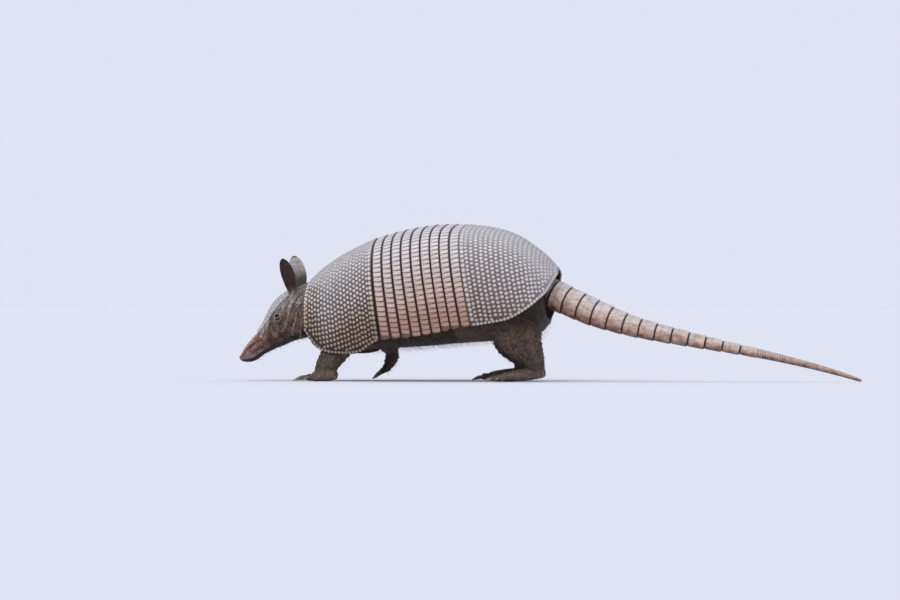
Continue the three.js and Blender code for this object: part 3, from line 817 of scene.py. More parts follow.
def make_ring(k):
    """One ring: a front row and a rear row of scutes, half a scute out of step, with shallow grooves."""
    rng = np.random.default_rng(40 + k)
    front, rear = ring_seam(k), ring_seam(k + 1) - GAP
    length = rear - front
    scutes = round(2 * math.pi * float(tail_at((front + rear) / 2)[2]) / RING_SCUTE)
    tones = rng.random((2, scutes + 1))
    drift = rng.uniform(0, 1)

    def pattern(u, v):
        row_end = 0.42 + 0.045 * np.cos(2 * math.pi * (u * scutes + drift))
        behind = v > row_end
        across = u * scutes + drift + np.where(behind, 0.5, 0)
        seam = bell(np.abs(across - np.round(across)), 0.06)
        seam = seam * np.where(behind, 1 - smooth_step(0.75, 0.97, v), 1)
        groove = np.maximum(seam, bell((v - row_end) * length, 0.55))
        return groove, tones[behind.astype(int), np.floor(across).astype(int) % scutes]

    def surface(u, v):
        groove, _ = pattern(u, v)
        roll = 0.8 * (1 - smooth_step(0, 2.0, v * length))
        roll += 0.5 * (1 - smooth_step(0, 0.9, (1 - v) * length)) ** 2
        lift = RING_LIP * (v - 0.5) - roll - 0.24 * groove * smooth_step(0, 2.5, v * length)
        lift += 0.12 * np.sin(math.pi * v) - 0.12
        return tail_point(front + v * length, 360 * u, lift)

    def values(u, v):
        groove, tone = pattern(u, v)
        upward = 0.5 + 0.5 * np.sin(2 * math.pi * u)
        far = (front + v * length - RING_FRONT) / (TAIL_TIP_X - RING_FRONT)
        # Under the lip of the ring ahead: dark skin with painted shadow.
        skin_and_shadow_in_front = 1 - smooth_step(1.1, 2.6, v * length)
        return {"up": upward, "far": far, "crown": 1 - groove, "hinge": skin_and_shadow_in_front, "tone": tone}

    ring = rolled(f"ring_{k + 1}_horn", 144, 30, surface, values)
    smooth_faces(ring)
    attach(ring, "root")
    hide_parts(f"tail_ring_{k + 1}")
    return ring


tail_horn, tree, shader = new_material("tail_horn", 0.5, colour(190, 170, 160))
mottle, pits = grain(tree, 1300)
up_there = plus_share(tree, attribute(tree, "up"), maths(tree, "SUBTRACT", mottle, 0.5), 0.6)
near_tint = ramp(tree, up_there, [
    (0.08, colour(132, 86, 66)), (0.3, colour(214, 172, 149)), (0.55, colour(242, 215, 200)),
    (0.78, colour(238, 222, 216)), (0.95, colour(218, 213, 217)),
])
far_tint = ramp(tree, up_there, [
    (0.08, colour(108, 74, 56)), (0.35, colour(194, 154, 131)), (0.65, colour(232, 203, 185)),
    (0.95, colour(214, 200, 193)),
])
base = mixed(tree, attribute(tree, "far"), near_tint, far_tint)
base = mixed(tree, maths(tree, "MULTIPLY", attribute(tree, "tone"), 0.22), base, grey(0.16))
streaks = noise(tree, stretched(tree, 60.0, 700.0, 500.0), 1.0, 3.0)
base = dimmed(tree, 0.4, base, streaks, [(0.3, colour(168, 134, 118)), (0.52, 1.0)])
base = dimmed(tree, 0.45, base, mottle, [(0.28, colour(138, 116, 105)), (0.5, 1.0)])
in_groove = ramp(tree, attribute(tree, "crown"), [(0.0, 0.55), (0.7, 0.0)])
base = mixed(tree, in_groove, base, colour(112, 92, 84))
base = mixed(tree, attribute(tree, "hinge"), base, colour(62, 45, 39))
relief = plus_share(tree, maths(tree, "MULTIPLY", pits, 0.4), streaks, 0.5)
feed(tree, shader, base, plus_share(tree, 0.36, pits, 0.28), relief, 0.45, 0.0004)
for k in range(RING_COUNT):
    make_ring(k).data.materials.append(tail_horn)

# ---------------------------------------------------------------- tail tip
# Behind the last ring the tail is clad in small overlapping horny scales, in rows that shorten towards
# a blunt end. It is one tube whose scales are raised from it, each rising to its rear edge.
TIP_ROWS = 40
TIP_SCALES = 12
TIP_CAP = 2.0


def tip_pattern(u, v):
    rows = TIP_ROWS * v * (1 + 0.28 * v)
    part = rows - np.floor(rows)
    across = u * TIP_SCALES + 0.5 * (np.floor(rows) % 2)
    seam = bell(np.abs(across - np.round(across)), 0.12)
    rise = smooth_step(0, 0.75, part) * (1 - smooth_step(0.86, 1.0, part))
    return rise * (1 - seam), rows, across


def tip_surface(u, v):
    x = RING_REAR + v * (TAIL_TIP_X - RING_REAR)
    rise, _, _ = tip_pattern(u, v)
    radius = tail_at(x)[..., 2]
    over = np.clip((x - (TAIL_TIP_X - TIP_CAP)) / TIP_CAP, 0, 1)
    lift = -0.42 + 0.42 * rise - 0.3 * (1 - smooth_step(0, 0.02, v))
    lift = (radius + lift) * np.sqrt(1 - over**2) - radius
    points = tail_point(x, 360 * u, lift)
    points[..., 2] = np.maximum(points[..., 2], 0)
    return points


def tip_values(u, v):
    rise, rows, across = tip_pattern(u, v)
    tones = np.random.default_rng(60).random(4096)
    which = (np.floor(rows) * 37 + np.floor(across)).astype(int) % 4096
    far = (RING_REAR - RING_FRONT + v * (TAIL_TIP_X - RING_REAR)) / (TAIL_TIP_X - RING_FRONT)
    # The joints between the scales are darkened a little, partly dark skin and partly painted shade.
    return {"up": 0.5 + 0.5 * np.sin(2 * math.pi * u), "far": far, "crown": smooth_step(0.0, 0.5, rise),
            "hinge": 0.35 * (1 - smooth_step(0.0, 0.3, rise)), "tone": tones[which]}


tail_end = rolled("scaled_tail_end", 72, 260, tip_surface, tip_values)
smooth_faces(tail_end)
tail_end.data.materials.append(tail_horn)
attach(tail_end, "root")
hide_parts("tail_tip")

# ---------------------------------------------------------------- head shield
# A thin plate of horn lies on the forehead and runs down the bridge of the snout. Its scutes are
# irregular and flat with narrow grooves between them, smaller towards the nose.
SHIELD_PLATE = 1.1
SHIELD_FRONT = 33
SHIELD_REAR = 97

# Distance back from the snout tip, top point on X and Z, bottom point on X and Z, half width.
HEAD = [
    [1.5, -375.2, 30.5, -370, 22.6, 4.8],
    [6, -372.6, 35.5, -363.5, 22, 7.2],
    [14, -367.6, 43.5, -355.5, 24.2, 8.2],
    [28, -357.6, 54.5, -344.5, 32, 9.4],
    [40, -350.4, 64, -335, 36.5, 11.6],
    [55, -343.4, 77, -322.5, 41.8, 16],
    [70, -336.4, 90, -310, 47, 21],
    [82, -328, 99.5, -301, 50, 24.2],
    [92, -319, 106, -295, 51, 25.2],
    [102, -310, 110, -289.5, 52, 24.6],
    [122, -292, 118.5, -284, 42, 28],
    [142, -270.5, 122, -270.5, 34, 36],
]
head_at = curve_through(HEAD)


def head_point(station, angle, lift):
    """Points of the head and neck: 0 degrees is the crown, and right is positive."""
    station, angle, lift = np.broadcast_arrays(np.asarray(station, float), angle, lift)
    top_x, top_z, bottom_x, bottom_z, half_width = np.moveaxis(head_at(station), -1, 0)
    half = np.hypot(top_x - bottom_x, top_z - bottom_z) / 2
    rise = (half + lift) * np.cos(np.radians(angle)) / (2 * half)
    return np.stack([
        (top_x + bottom_x) / 2 + rise * (top_x - bottom_x),
        (half_width + lift) * np.sin(np.radians(angle)),
        (top_z + bottom_z) / 2 + rise * (top_z - bottom_z),
    ], -1)


def shield_reach(station):
    """The angle from the crown to the shield's edge."""
    return 38 + 14 * np.sin(math.pi * (station - SHIELD_FRONT) / (SHIELD_REAR - SHIELD_FRONT))


def brow_radius(station):
    return np.interp(station, [28, 102], [10.5, 28])


def make_head_shield():
    rng = np.random.default_rng(70)
    centres, station = [], SHIELD_FRONT + 1.5
    while station < SHIELD_REAR:
        size = np.interp(station, [SHIELD_FRONT, 60, SHIELD_REAR], [3.0, 4.2, 5.4])
        reach = math.radians(float(shield_reach(station))) * brow_radius(station)
        arcs = np.arange(-12, 13) * size * 1.06 + (len(centres) % 2) * size * 0.53
        arcs = arcs[np.abs(arcs) < reach + size * 0.4]
        spots = np.stack([np.full(len(arcs), station), arcs], 1)
        centres.append(spots + rng.uniform(-0.22, 0.22, spots.shape) * size)
        station += size * 0.92
    centres = np.concatenate(centres)

    shield, u, v = new_grid("forehead_horn", 110, 150)
    station = SHIELD_FRONT + v * (SHIELD_REAR - SHIELD_FRONT)
    angle = (1 - 2 * u) * shield_reach(station)
    arc = np.radians(angle) * brow_radius(station)
    apart = np.hypot(station[:, None] - centres[:, 0], arc[:, None] - centres[:, 1])
    order = np.argsort(apart, axis=1)[:, :2]
    nearest, second = np.take_along_axis(apart, order, 1).T
    flat = smooth_step(0.1, 1.1, second - nearest)
    reach = np.radians(shield_reach(station)) * brow_radius(station)
    edge = np.minimum(np.minimum(v, 1 - v) * (SHIELD_REAR - SHIELD_FRONT), np.minimum(u, 1 - u) * 2 * reach)
    roll = 0.55 * (1 - smooth_step(0, 1.6, edge)) ** 2
    lift = GAP + SHIELD_PLATE - 0.42 * (1 - flat) - roll
    move_corners(shield, head_point(station, angle, lift) * MM)
    tones = rng.random(len(centres))[order[:, 0]]
    set_values(shield, down=1 - v, crown=flat, tone=tones, hinge=0.0)
    thicken(shield, SHIELD_PLATE - 0.5)
    smooth_faces(shield)
    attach(shield, "root")
    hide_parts("head_shield")
    return shield


head_horn = shell_material(
    "head_horn",
    ground=[(0.0, colour(116, 110, 110)), (0.5, colour(122, 106, 104)), (1.0, colour(140, 108, 104))],
    crowns=[(0.0, colour(200, 198, 202)), (0.45, colour(216, 211, 214)), (1.0, colour(236, 222, 223))],
    hinge=[(0.0, colour(60, 46, 42))], wear_and_sheen_from=0.0, wear_and_sheen_to=0.12,
)
make_head_shield().data.materials.append(head_horn)

# ---------------------------------------------------------------- skin
# One leathery skin covers the head, neck, ears, belly, legs and the root of the tail. It is built up from
# its limbs, melted into one surface, then worked with folds, lids, nostrils, mouth and wrinkles.
SKIN_DEPTH = 0.45
HEAD_VOXEL, BODY_VOXEL = ((0.6, 1.05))
HEAD_CORNERS = 36000
BODY_CORNERS = 60000
NOSE = np.array([-376.5, 0, 26])
NOSE_CAP = 0.06
NECK_END = 151


def head_surface(u, v):
    """The head and neck as a tube from the middle of the nose to inside the shoulders."""
    cap = np.clip(v / NOSE_CAP, 0, 1)
    station = 1.5 + np.clip((v - NOSE_CAP) / (1 - NOSE_CAP), 0, 1) * (NECK_END - 1.5)
    points = head_point(station, 360 * u, -SKIN_DEPTH)
    first = head_point(1.5, 0, 0) * 0.5 + head_point(1.5, 180, 0) * 0.5
    bulge = np.sin(cap * math.pi / 2)[:, None]
    forward = np.cos(cap * math.pi / 2)[:, None]
    capped = first + (points - first) * bulge**0.6 + (NOSE + [SKIN_DEPTH, 0, 0] - first) * forward**1.6
    return np.where(cap[:, None] < 1, capped, points)


# Share of the height, half width, depth of the cup, half angle round the base.
EAR = [
    [0, 5.4, 5.4, 150],
    [0.16, 6.6, 5.6, 128],
    [0.34, 9.8, 5.4, 92],
    [0.55, 11.6, 4.6, 76],
    [0.75, 11, 3.6, 70],
    [0.9, 8.6, 2.5, 66],
    [1, 3.6, 1.5, 60],
]
EAR_WALL = 1.3
EARS = {
    "left": ([-307.5, -13.5, 105], [-320, -20.5, 146.8], [-0.55, -1, 0]),
    "right": ([-302, 13.5, 105], [-314.5, 22, 150.5], [-0.4, 1, 0]),
}
ear_at = curve_through(EAR)


def ear_axes(side):
    base, tip, facing = (np.array(v, float) for v in EARS[side])
    axis = tip - base
    upward = unit(axis)
    open_way = unit(facing - facing.dot(upward) * upward)
    return base, axis, np.cross(upward, open_way), open_way


def ear_surface(side):
    """A cupped leaf with a thin wall: the grid runs out along the back and returns inside."""
    base, axis, across, open_way = ear_axes(side)

    def surface(u, v):
        t = 1.05 * v - 0.05
        half_width, cup, half_angle = np.moveaxis(ear_at(t), -1, 0)
        rounded = 11.4 * np.sqrt(1 - np.clip((t - 0.6) / 0.405, 0, 0.99) ** 2)
        half_width = np.minimum(half_width - 0.2, rounded)
        inner = 0.5 - 0.5 * np.clip(np.sin(2 * math.pi * u) * 5, -1, 1)
        angle = np.radians(half_angle * (4 * np.abs(u - 0.5) - 1))
        thinner = EAR_WALL * inner
        sideways = np.maximum(half_width - thinner, 0.5) * np.sin(angle)
        depth = -(cup - thinner) * np.cos(angle)
        return base + t[:, None] * axis + sideways[:, None] * across + depth[:, None] * open_way

    return surface


# Height where the flank leaves the shell and height of the belly, by ridge station.
TRUNK = [
    [-268, 64, 35],
    [-240, 56, 37],
    [BANDS_FRONT, 56, 38.5],
    [-160, 59, 41.5],
    [-109, 67, 45.5],
    [-80, 71, 47.5],
    [-50, 77, 49],
    [-28, 88, 54],
    [-10, 99, 66],
    [2, 112, 84],
]
trunk_at = curve_through(TRUNK)


def trunk_surface(u, v):
    """The body: an arch that lies under the shell, and the belly slung below it."""
    x = np.round(-268 + 264 * v, 3)
    points = np.empty((len(x), 3))
    for station in np.unique(x):
        here = x == station
        flank, belly = trunk_at(station)
        ridge, _, _, _, lean, _ = shell_at(station)
        arc, _, depth, _ = half_section(station)
        reach = np.interp((ridge - flank) / math.cos(math.radians(lean)), depth, arc)
        inset = PLATE + BAND_LIP + 4 * GAP + SKIN_DEPTH + np.interp(station, [-25, -11, -4], [0, 2.5, 5])
        round_it = u[here]
        arch = on_shell(station, (np.clip(round_it / 0.6, 0, 1) * 2 - 1) * reach, -inset)
        edge = on_shell(station, reach, -inset)
        t = np.clip((round_it - 0.6) / 0.4, 0, 1)[:, None]
        under = np.concatenate([
            np.full_like(t, edge[0]), edge[1] * np.cos(math.pi * t),
            flank - (flank - belly - SKIN_DEPTH) * np.sin(math.pi * t),
        ], 1)
        points[here] = np.where(t > 0, under, arch)
    return points


def limb(name, rows, around, rounds, round_end=0.0):
    """A limb through rows of place, radius fore and aft and radius sideways, its far end rounded off."""
    at = curve_through([[i, *row] for i, row in enumerate(rows)])

    def surface(u, v):
        i = v * (len(rows) - 1)
        x, y, z, depth, width = np.moveaxis(at(i), -1, 0)
        along = unit(at(i + 0.05)[..., :3] - at(i - 0.05)[..., :3])
        side = unit(np.array([0, 1.0, 0]) - along * along[..., 1:2])
        fore = np.cross(side, along)
        over = np.clip((v - 1 + round_end) / max(round_end, 1e-6), 0, 1)
        closing = np.sqrt(1 - over**2 * (round_end > 0))
        turn = 2 * math.pi * u
        return (np.stack([x, y, z], -1) + fore * (depth * closing * np.cos(turn))[:, None]
                + side * (width * closing * np.sin(turn))[:, None])

    return rolled(name, around, rounds, surface)


# Toes from the inner to the outer one: sideways place on the foot, reach past its front, claw length.
FRONT_TOES = [[9.5, 5, 9], [3.6, 9, 17], [-3.6, 8.5, 16], [-9.8, 3, 8]]
HIND_TOES = [[13, 4, 8], [7, 9, 12], [0, 11, 13], [-7, 8.5, 11], [-12.6, 2, 7]]
TOE_RADIUS = 4.2
LEGS = {
    "front_left": {
        "side": -1, "x": -264, "y": -40, "yaw": 4, "width": 12.5, "toes": FRONT_TOES,
        "heel": (-13, 8.5), "ball": (13, 5.2), "toe_pitch": 5, "claw_pitch": 12,
        "upper": [[-229, -29, 80, 20, 12], [-239, -31, 56, 18.5, 12], [-251, -33, 36, 16.5, 11.5],
                  [-261, -37, 20, 13.5, 11.5], [-265, -39.5, 9, 12, 10.5]],
    },
    "front_right": {
        "side": 1, "x": -199, "y": 43, "yaw": -4, "width": 11.5, "toes": FRONT_TOES,
        "heel": (-4, 33), "ball": (2, 18), "toe_pitch": 58, "claw_pitch": 34,
        "upper": [[-224, 33, 80, 20, 12], [-216, 37, 62, 16, 12], [-205, 41, 47, 12, 11.5],
                  [-198, 43, 36, 9.5, 11], [-198, 43, 27, 7, 8]],
    },
    "hind_left": {
        "side": -1, "x": -23, "y": -47, "yaw": 8, "width": 14.5, "toes": HIND_TOES,
        "heel": (-23, 11.5), "ball": (23, 5.2), "toe_pitch": 6, "claw_pitch": 14,
        "upper": [[-30, -34, 100, 28, 13], [-32, -41, 72, 31, 15.5], [-22, -46, 48, 26, 16],
                  [-9, -48, 28, 13.5, 13], [-6, -47, 16, 10, 11], [-7, -47, 8, 7.5, 9]],
    },
    "hind_right": {
        "side": 1, "x": -54, "y": 46, "yaw": -6, "width": 14.5, "toes": HIND_TOES,
        "heel": (-23, 8.5), "ball": (23, 5.2), "toe_pitch": 6, "claw_pitch": 14,
        "upper": [[-38, 34, 100, 28, 13], [-48, 41, 72, 29, 15.5], [-50, 45, 48, 23, 16],
                  [-39, 47, 27, 13, 13], [-37, 46, 15, 10, 11], [-38, 46, 7, 7.5, 9]],
    },
}


def on_foot(leg, forward, inward, up):
    """A point of a foot: forward, towards the body's middle line, and up from the floor."""
    x, y = -forward, -leg["side"] * inward
    yaw = math.radians(leg["yaw"])
    cos, sin = math.cos(yaw), math.sin(yaw)
    return [leg["x"] + x * cos - y * sin, leg["y"] + x * sin + y * cos, up]


def along_foot(start, pitch, length):
    pitch = math.radians(pitch)
    return start[0] + length * math.cos(pitch), start[1] - length * math.sin(pitch)


def leg_pieces(name, leg):
    """The leg's own limb, the sole and a limb for each toe."""
    heel, ball, width = leg["heel"], leg["ball"], leg["width"]

    def row(place, inward, depth, across):
        return [*on_foot(leg, place[0], inward, place[1]), depth - SKIN_DEPTH, across - SKIN_DEPTH]

    def between(t):
        return heel[0] + (ball[0] - heel[0]) * t, heel[1] + (ball[1] - heel[1]) * t

    upper = [[x, y, z, depth - SKIN_DEPTH, across - SKIN_DEPTH] for x, y, z, depth, across in leg["upper"]]
    pieces = [limb(name, upper, 48, 48)]
    pieces.append(limb(name, [
        row(between(-0.1), 0, 4.6, width * 0.4), row(heel, 0, 7.5, width * 0.62),
        row(between(0.3), 0, 8.2, width * 0.8), row(between(0.65), 0, 7.6, width),
        row(ball, 0, 5.8, width * 0.95),
    ], 40, 34))
    for inward, reach, _ in leg["toes"]:
        pieces.append(limb(name, [
            row(between(0.8), inward * 0.8, 4.2, TOE_RADIUS),
            row(along_foot(ball, leg["toe_pitch"], reach * 0.5), inward, 4.6, TOE_RADIUS),
            row(along_foot(ball, leg["toe_pitch"], reach - 1.2), inward, 3.8, TOE_RADIUS * 0.86),
            row(along_foot(ball, leg["toe_pitch"], reach), inward, 2.9, TOE_RADIUS * 0.66),
        ], 24, 28, round_end=0.12))
    return pieces


def melt(piece, voxel, smoothing):
    """Makes overlapping closed pieces one even surface, and smooths it."""
    remesh = piece.modifiers.new("melt", "REMESH")
    remesh.mode = "VOXEL"
    remesh.voxel_size = voxel * MM
    soften = piece.modifiers.new("soften", "SMOOTH")
    soften.factor = 0.5
    soften.iterations = smoothing
    apply_modifiers(piece)
    return piece


def normals_of(piece):
    out = np.empty(len(piece.data.vertices) * 3)
    piece.data.vertex_normals.foreach_get("vector", out)
    return out.reshape(-1, 3)


def lumps(points, size, seed):
    """Soft random lumps of a given size in millimetres, from -1 to 1."""
    where = points / size + 500
    cell = np.floor(where).astype(int)
    t = where - cell
    t = t * t * (3 - 2 * t)
    lattice = np.random.default_rng(seed).uniform(-1, 1, (32, 32, 32))
    total = 0
    for corner in np.ndindex(2, 2, 2):
        weight = np.prod(np.where(corner, t, 1 - t), axis=1)
        total = total + weight * lattice[tuple(((cell + corner) % 32).T)]
    return total


def read_head(points):
    """Each point's distance back from the snout tip, and angle down from the crown, right positive."""
    stations = np.linspace(0, NECK_END, 303)
    top_x, top_z, bottom_x, bottom_z, half_width = head_at(stations).T
    length = np.hypot(top_x - bottom_x, top_z - bottom_z)
    up_x, up_z = (top_x - bottom_x) / length, (top_z - bottom_z) / length
    behind = (points[:, :1] - top_x) * up_z - (points[:, 2:] - top_z) * up_x
    nearest = np.abs(behind).argmin(axis=1)
    each = np.arange(len(points))
    other = np.clip(nearest + np.sign(behind[each, nearest]).astype(int), 0, len(stations) - 1)
    step = behind[each, nearest] - behind[each, other]
    t = np.clip(behind[each, nearest] / np.where(np.abs(step) < 1e-6, 1, step), 0, 1)
    station = stations[nearest] + t * (stations[other] - stations[nearest])
    top_x, top_z, bottom_x, bottom_z, half_width = head_at(station).T
    half = np.hypot(top_x - bottom_x, top_z - bottom_z) / 2
    rise = (points[:, 0] - (top_x + bottom_x) / 2) * (top_x - bottom_x) + (
        points[:, 2] - (top_z + bottom_z) / 2) * (top_z - bottom_z)
    return station, np.degrees(np.arctan2(points[:, 1] / half_width, rise / (2 * half**2)))


def band_of(value, low, high, soft):
    """1 between two values, falling softly to 0 outside them."""
    return smooth_step(low - soft, low, value) * (1 - smooth_step(high, high + soft, value))


EYE_STATION = 73
EYE_ANGLE = 69
EYE_SINK = 2.7
EYE_RADIUS = 3.9
LID = 0.62
EYE_OPENING = (2.9, 1.45)


def eye_axes(side):
    """The eye's centre, the way it looks, and the ways back along the head and up across it."""
    centre = head_point(EYE_STATION, side * EYE_ANGLE, -EYE_SINK)
    out = unit(head_point(EYE_STATION, side * EYE_ANGLE, 5) - centre)
    level = np.array([1, 0, 0.3])
    back = unit(level - level.dot(out) * out)
    up = np.cross(back, out) * side
    return centre, out, back, up * np.sign(up[2])


def read_eye(points, side):
    """Each point's place about an eye: back, up and out in millimetres, and its distance from the centre."""
    centre, out, back, up = eye_axes(side)
    d = points - centre
    return d @ back, d @ up, d @ out, np.linalg.norm(d, axis=1)


def lid_opening(back, up):
    """Less than 1 inside the opening between the lids."""
    return np.sqrt((back / EYE_OPENING[0]) ** 2 + (up / EYE_OPENING[1]) ** 2)


def below_eye(back, up):
    """Heights measured from the sagging line of the lower lid."""
    return up - 0.08 * back**2


# Distance back from the snout tip, and the mouth's angle down from the crown there.
MOUTH = [[0, 120], [10, 132], [28, 141], [46, 146]]

# The folds of the cheek and neck in side view: strength, then height and x along each from below.
FOLDS = (
    (1.0, [(64, -316.5), (74, -313), (81, -311), (90, -308.5), (95, -305.5), (105, -300)]),
    (0.7, [(56, -308), (68, -304), (80, -301), (92, -297), (101, -291)]),
    (0.55, [(50, -301), (62, -296.5), (76, -293), (90, -287)]),
    (0.55, [(72, -323), (80, -319.5), (88, -316.5), (94, -313)]),
)


def head_lines(points):
    """How strongly each point of the head lies on a fold's crest, in its furrow, or on a dark line."""
    station, angle = read_head(points)
    down = np.abs(angle)
    wander = 0.9 * lumps(points, 9, 81) + 0.5 * lumps(points, 3.5, 80)
    crest, furrow = np.zeros(len(points)), np.zeros(len(points))
    for strength, line in FOLDS:
        level, back = np.array(line).T
        off = 0.9 * (points[:, 0] - np.interp(points[:, 2], level, back)) + wander
        within = band_of(points[:, 2], level[0] + 2, level[-1] - 2, 5) * strength * smooth_step(30, 45, down)
        within = within * (0.85 + 0.4 * lumps(points, 6, 79))
        crest = np.maximum(crest, within * bell(off, 0.95))
        furrow = np.maximum(furrow, within * bell(off - 2.1, 1.1))
    radius = np.interp(station, [0, 14, 40, 70], [4, 9, 15, 25])
    mouth = (down - np.interp(station, *np.array(MOUTH).T)) * math.pi / 180 * radius
    lips = bell(mouth, 0.6) * (1 - smooth_step(41, 47, station))
    groove = (down - (56 + (station - 11))) * math.pi / 180 * radius + 0.5 * lumps(points, 4, 82)
    groove = bell(groove, 0.95) * band_of(station, 12, 33, 4) * (0.8 + 0.6 * lumps(points, 2.6, 78))
    return station, down, crest, furrow, mouth, lips, groove


def nostril(points):
    spots = [head_point(1.6, side * 48, 0) for side in (-1, 1)]
    return np.min([np.linalg.norm(points - spot, axis=1) for spot in spots], axis=0)


def work_head(piece):
    """Raises the folds and wrinkles of the head and neck, and cuts the mouth, nostrils and lids."""
    points, out = corners_of(piece) / MM, normals_of(piece)
    station, _, crest, furrow, mouth, lips, groove = head_lines(points)
    on_head = np.ones(len(points))
    for side in EARS:
        on_head = np.where(read_ear(points, side)[0] > 0.12, 0, on_head)
    raised = 0.85 * crest - 0.7 * furrow - 0.9 * lips - 0.55 * groove
    raised += 0.35 * bell(mouth + 1.5, 0.9) * (1 - smooth_step(38, 46, station))
    raised += 0.3 * lumps(points, 5.5, 83) + 0.16 * lumps(points, 2.2, 84)
    raised += 0.14 * np.sin(station * 2.5 + 2 * lumps(points, 6, 85)) * band_of(station, 6, 34, 5)
    raised += 0.3 * np.sin(station * 1.05 + 2 * lumps(points, 8, 86)) * smooth_step(96, 108, station)
    hole = nostril(points)
    raised += 0.3 * bell(hole - 2.0, 0.8) - 1.7 * bell(hole, 1.15)
    for side in (-1, 1):
        back, up, forward, _ = read_eye(points, side)
        near = (forward > -1) & (np.hypot(back, up) < 14)
        ringed = np.hypot(back / 1.35, up)
        droop = below_eye(back, up)
        crease = bell(droop + 4.0, 0.75) * smooth_step(5, 3.4, np.abs(back)) * -0.55
        bag = bell(droop + 5.7, 0.9) * smooth_step(6.5, 4.5, np.abs(back)) * 0.4
        brow = bell(ringed - 4.6, 1.0) * smooth_step(0.5, 2.5, up) * 0.45
        raised += np.where(near, crease + bag + brow, 0)
    points += out * (raised * on_head)[:, None]
    for side in (-1, 1):
        centre = eye_axes(side)[0]
        back, up, forward, far = read_eye(points, side)
        lidded = EYE_RADIUS + LID
        cover = (forward > 0.6) & (far < lidded + 0.8)
        far_now = np.where(cover, np.maximum(far, lidded), far)
        opening = lid_opening(back, up)
        inside = (1 - smooth_step(0.84, 1.06, opening)) * (forward > 0)
        far_now = far_now - inside * (far_now - EYE_RADIUS + 0.9)
        points = centre + (points - centre) * (far_now / far)[:, None]
    move_corners(piece, points * MM)


def read_ear(points, side):
    """Each point's share of the ear's height, or -1 if it is off it, and its places across and out of it."""
    base, axis, across, open_way = ear_axes(side)
    d = points - base
    height = d @ axis / (axis @ axis)
    sideways, outward = d @ across, d @ open_way
    off = (np.abs(sideways) > 13) | (np.abs(outward) > 8) | (height < 0) | (height > 1.08)
    return np.where(off, -1, height), sideways, outward


def refine(piece, chosen):
    """Splits the faces round the chosen corners once, for finer detail."""
    select_only(piece)
    bpy.ops.object.mode_set(mode="EDIT")
    bpy.ops.mesh.select_mode(type="VERT")
    bpy.ops.mesh.select_all(action="DESELECT")
    bpy.ops.object.mode_set(mode="OBJECT")
    piece.data.vertices.foreach_set("select", chosen)
    bpy.ops.object.mode_set(mode="EDIT")
    bpy.ops.mesh.select_mode(type="VERT")
    bpy.ops.mesh.subdivide(number_cuts=1)
    bpy.ops.object.mode_set(mode="OBJECT")


front = joined(
    "skin_front", rolled("head_form", 96, 150, head_surface),
    *[rolled(f"ear_form_{side}", 120, 60, ear_surface(side)) for side in EARS],
)
melt(front, HEAD_VOXEL, 4)
points = corners_of(front) / MM
fine = nostril(points) < 3.5
for side in (-1, 1):
    fine |= read_eye(points, side)[3] < 8
refine(front, fine)
work_head(front)

root_of_tail = rolled(
    "tail_form", 72, 40, lambda u, v: tail_point(-22 + v * (22 + RING_FRONT - GAP), 360 * u, -SKIN_DEPTH),
)
body_forms = [rolled("trunk_form", 200, 110, trunk_surface), root_of_tail]
for name, leg in LEGS.items():
    body_forms += leg_pieces(name, leg)
body = melt(joined("skin_body", *body_forms), BODY_VOXEL, 5)
points, out = corners_of(body) / MM, normals_of(body)


def leg_share(points):
    """How much each point belongs to a leg rather than to the belly or the tail."""
    x, y, z = points.T
    fore = band_of(x, -300, -178, 6) * (1 - smooth_step(36, 50, z))
    hind = band_of(x, -100, 22, 6) * (1 - smooth_step(52, 74, z))
    return np.maximum(fore, hind) * smooth_step(14, 22, np.abs(y))


def tuck_under(points):
    """Draws in whatever of the flanks and legs would stand out past the shell's lower margin."""
    x = np.linspace(SHOULDER_FRONT, PELVIC_REAR, 240)
    edge = on_shell(x, margin_arc(x), -PLATE - 1.2)
    edge = edge[np.argsort(edge[:, 0])]
    edge_y, edge_z = (np.interp(points[:, 0], edge[:, 0], edge[:, k]) for k in (1, 2))
    above = points[:, 2] - edge_z
    limit = edge_y + np.where(above > 0, 0.3 * above, -0.7 * above)
    side = np.abs(points[:, 1])
    tucked = np.where((above < 8) & (points[:, 0] < 5), np.minimum(side, limit), side)
    points[:, 1] = np.sign(points[:, 1]) * tucked


legs = leg_share(points)
low_enough = 1 - smooth_step(96, 118, points[:, 2])
wrinkles = np.sin(points[:, 2] * 1.15 + 2.2 * lumps(points, 9, 91)) * 0.35
wrinkles *= legs * smooth_step(12, 22, points[:, 2])
wrinkles += np.sin(points[:, 0] * 0.9 + 2.5 * lumps(points, 12, 92)) * 0.35 * (1 - legs) * low_enough
points += out * (wrinkles + 0.4 * lumps(points, 7, 93) + 0.2 * lumps(points, 2.8, 94) - 0.25)[:, None]
points[:, 2] = np.maximum(points[:, 2], 0)
tuck_under(points)
move_corners(body, points * MM)


def thin_out(piece, ratio, weights=None):
    """Collapses the least needed edges, only where the weights allow it."""
    fewer = piece.modifiers.new("fewer", "DECIMATE")
    fewer.ratio = ratio
    if weights is not None:
        group = piece.vertex_groups.new(name="hidden")
        for corner in np.flatnonzero(weights > 0.5):
            group.add([int(corner)], 1.0, "REPLACE")
        fewer.vertex_group = "hidden"
        fewer.vertex_group_factor = 1.0
    apply_modifiers(piece)
    if weights is not None:
        piece.vertex_groups.remove(piece.vertex_groups["hidden"])


x, y, z = points.T
margin_height = shell_at(x)[:, 1]
hidden = (z > margin_height + 9) & (x > -262) & (x < -12)
thin_out(body, 1 - 0.9 * np.mean(hidden), hidden)
thin_out(body, min(1.0, BODY_CORNERS / len(body.data.vertices)))
thin_out(front, min(1.0, HEAD_CORNERS / len(front.data.vertices)))
skin = joined("skin", body, front)



def tint(red, green, blue):
    return np.array(colour(red, green, blue)[:3])


def blended(first, second, share):
    return first + (second - first) * np.clip(share, 0, 1)[:, None]


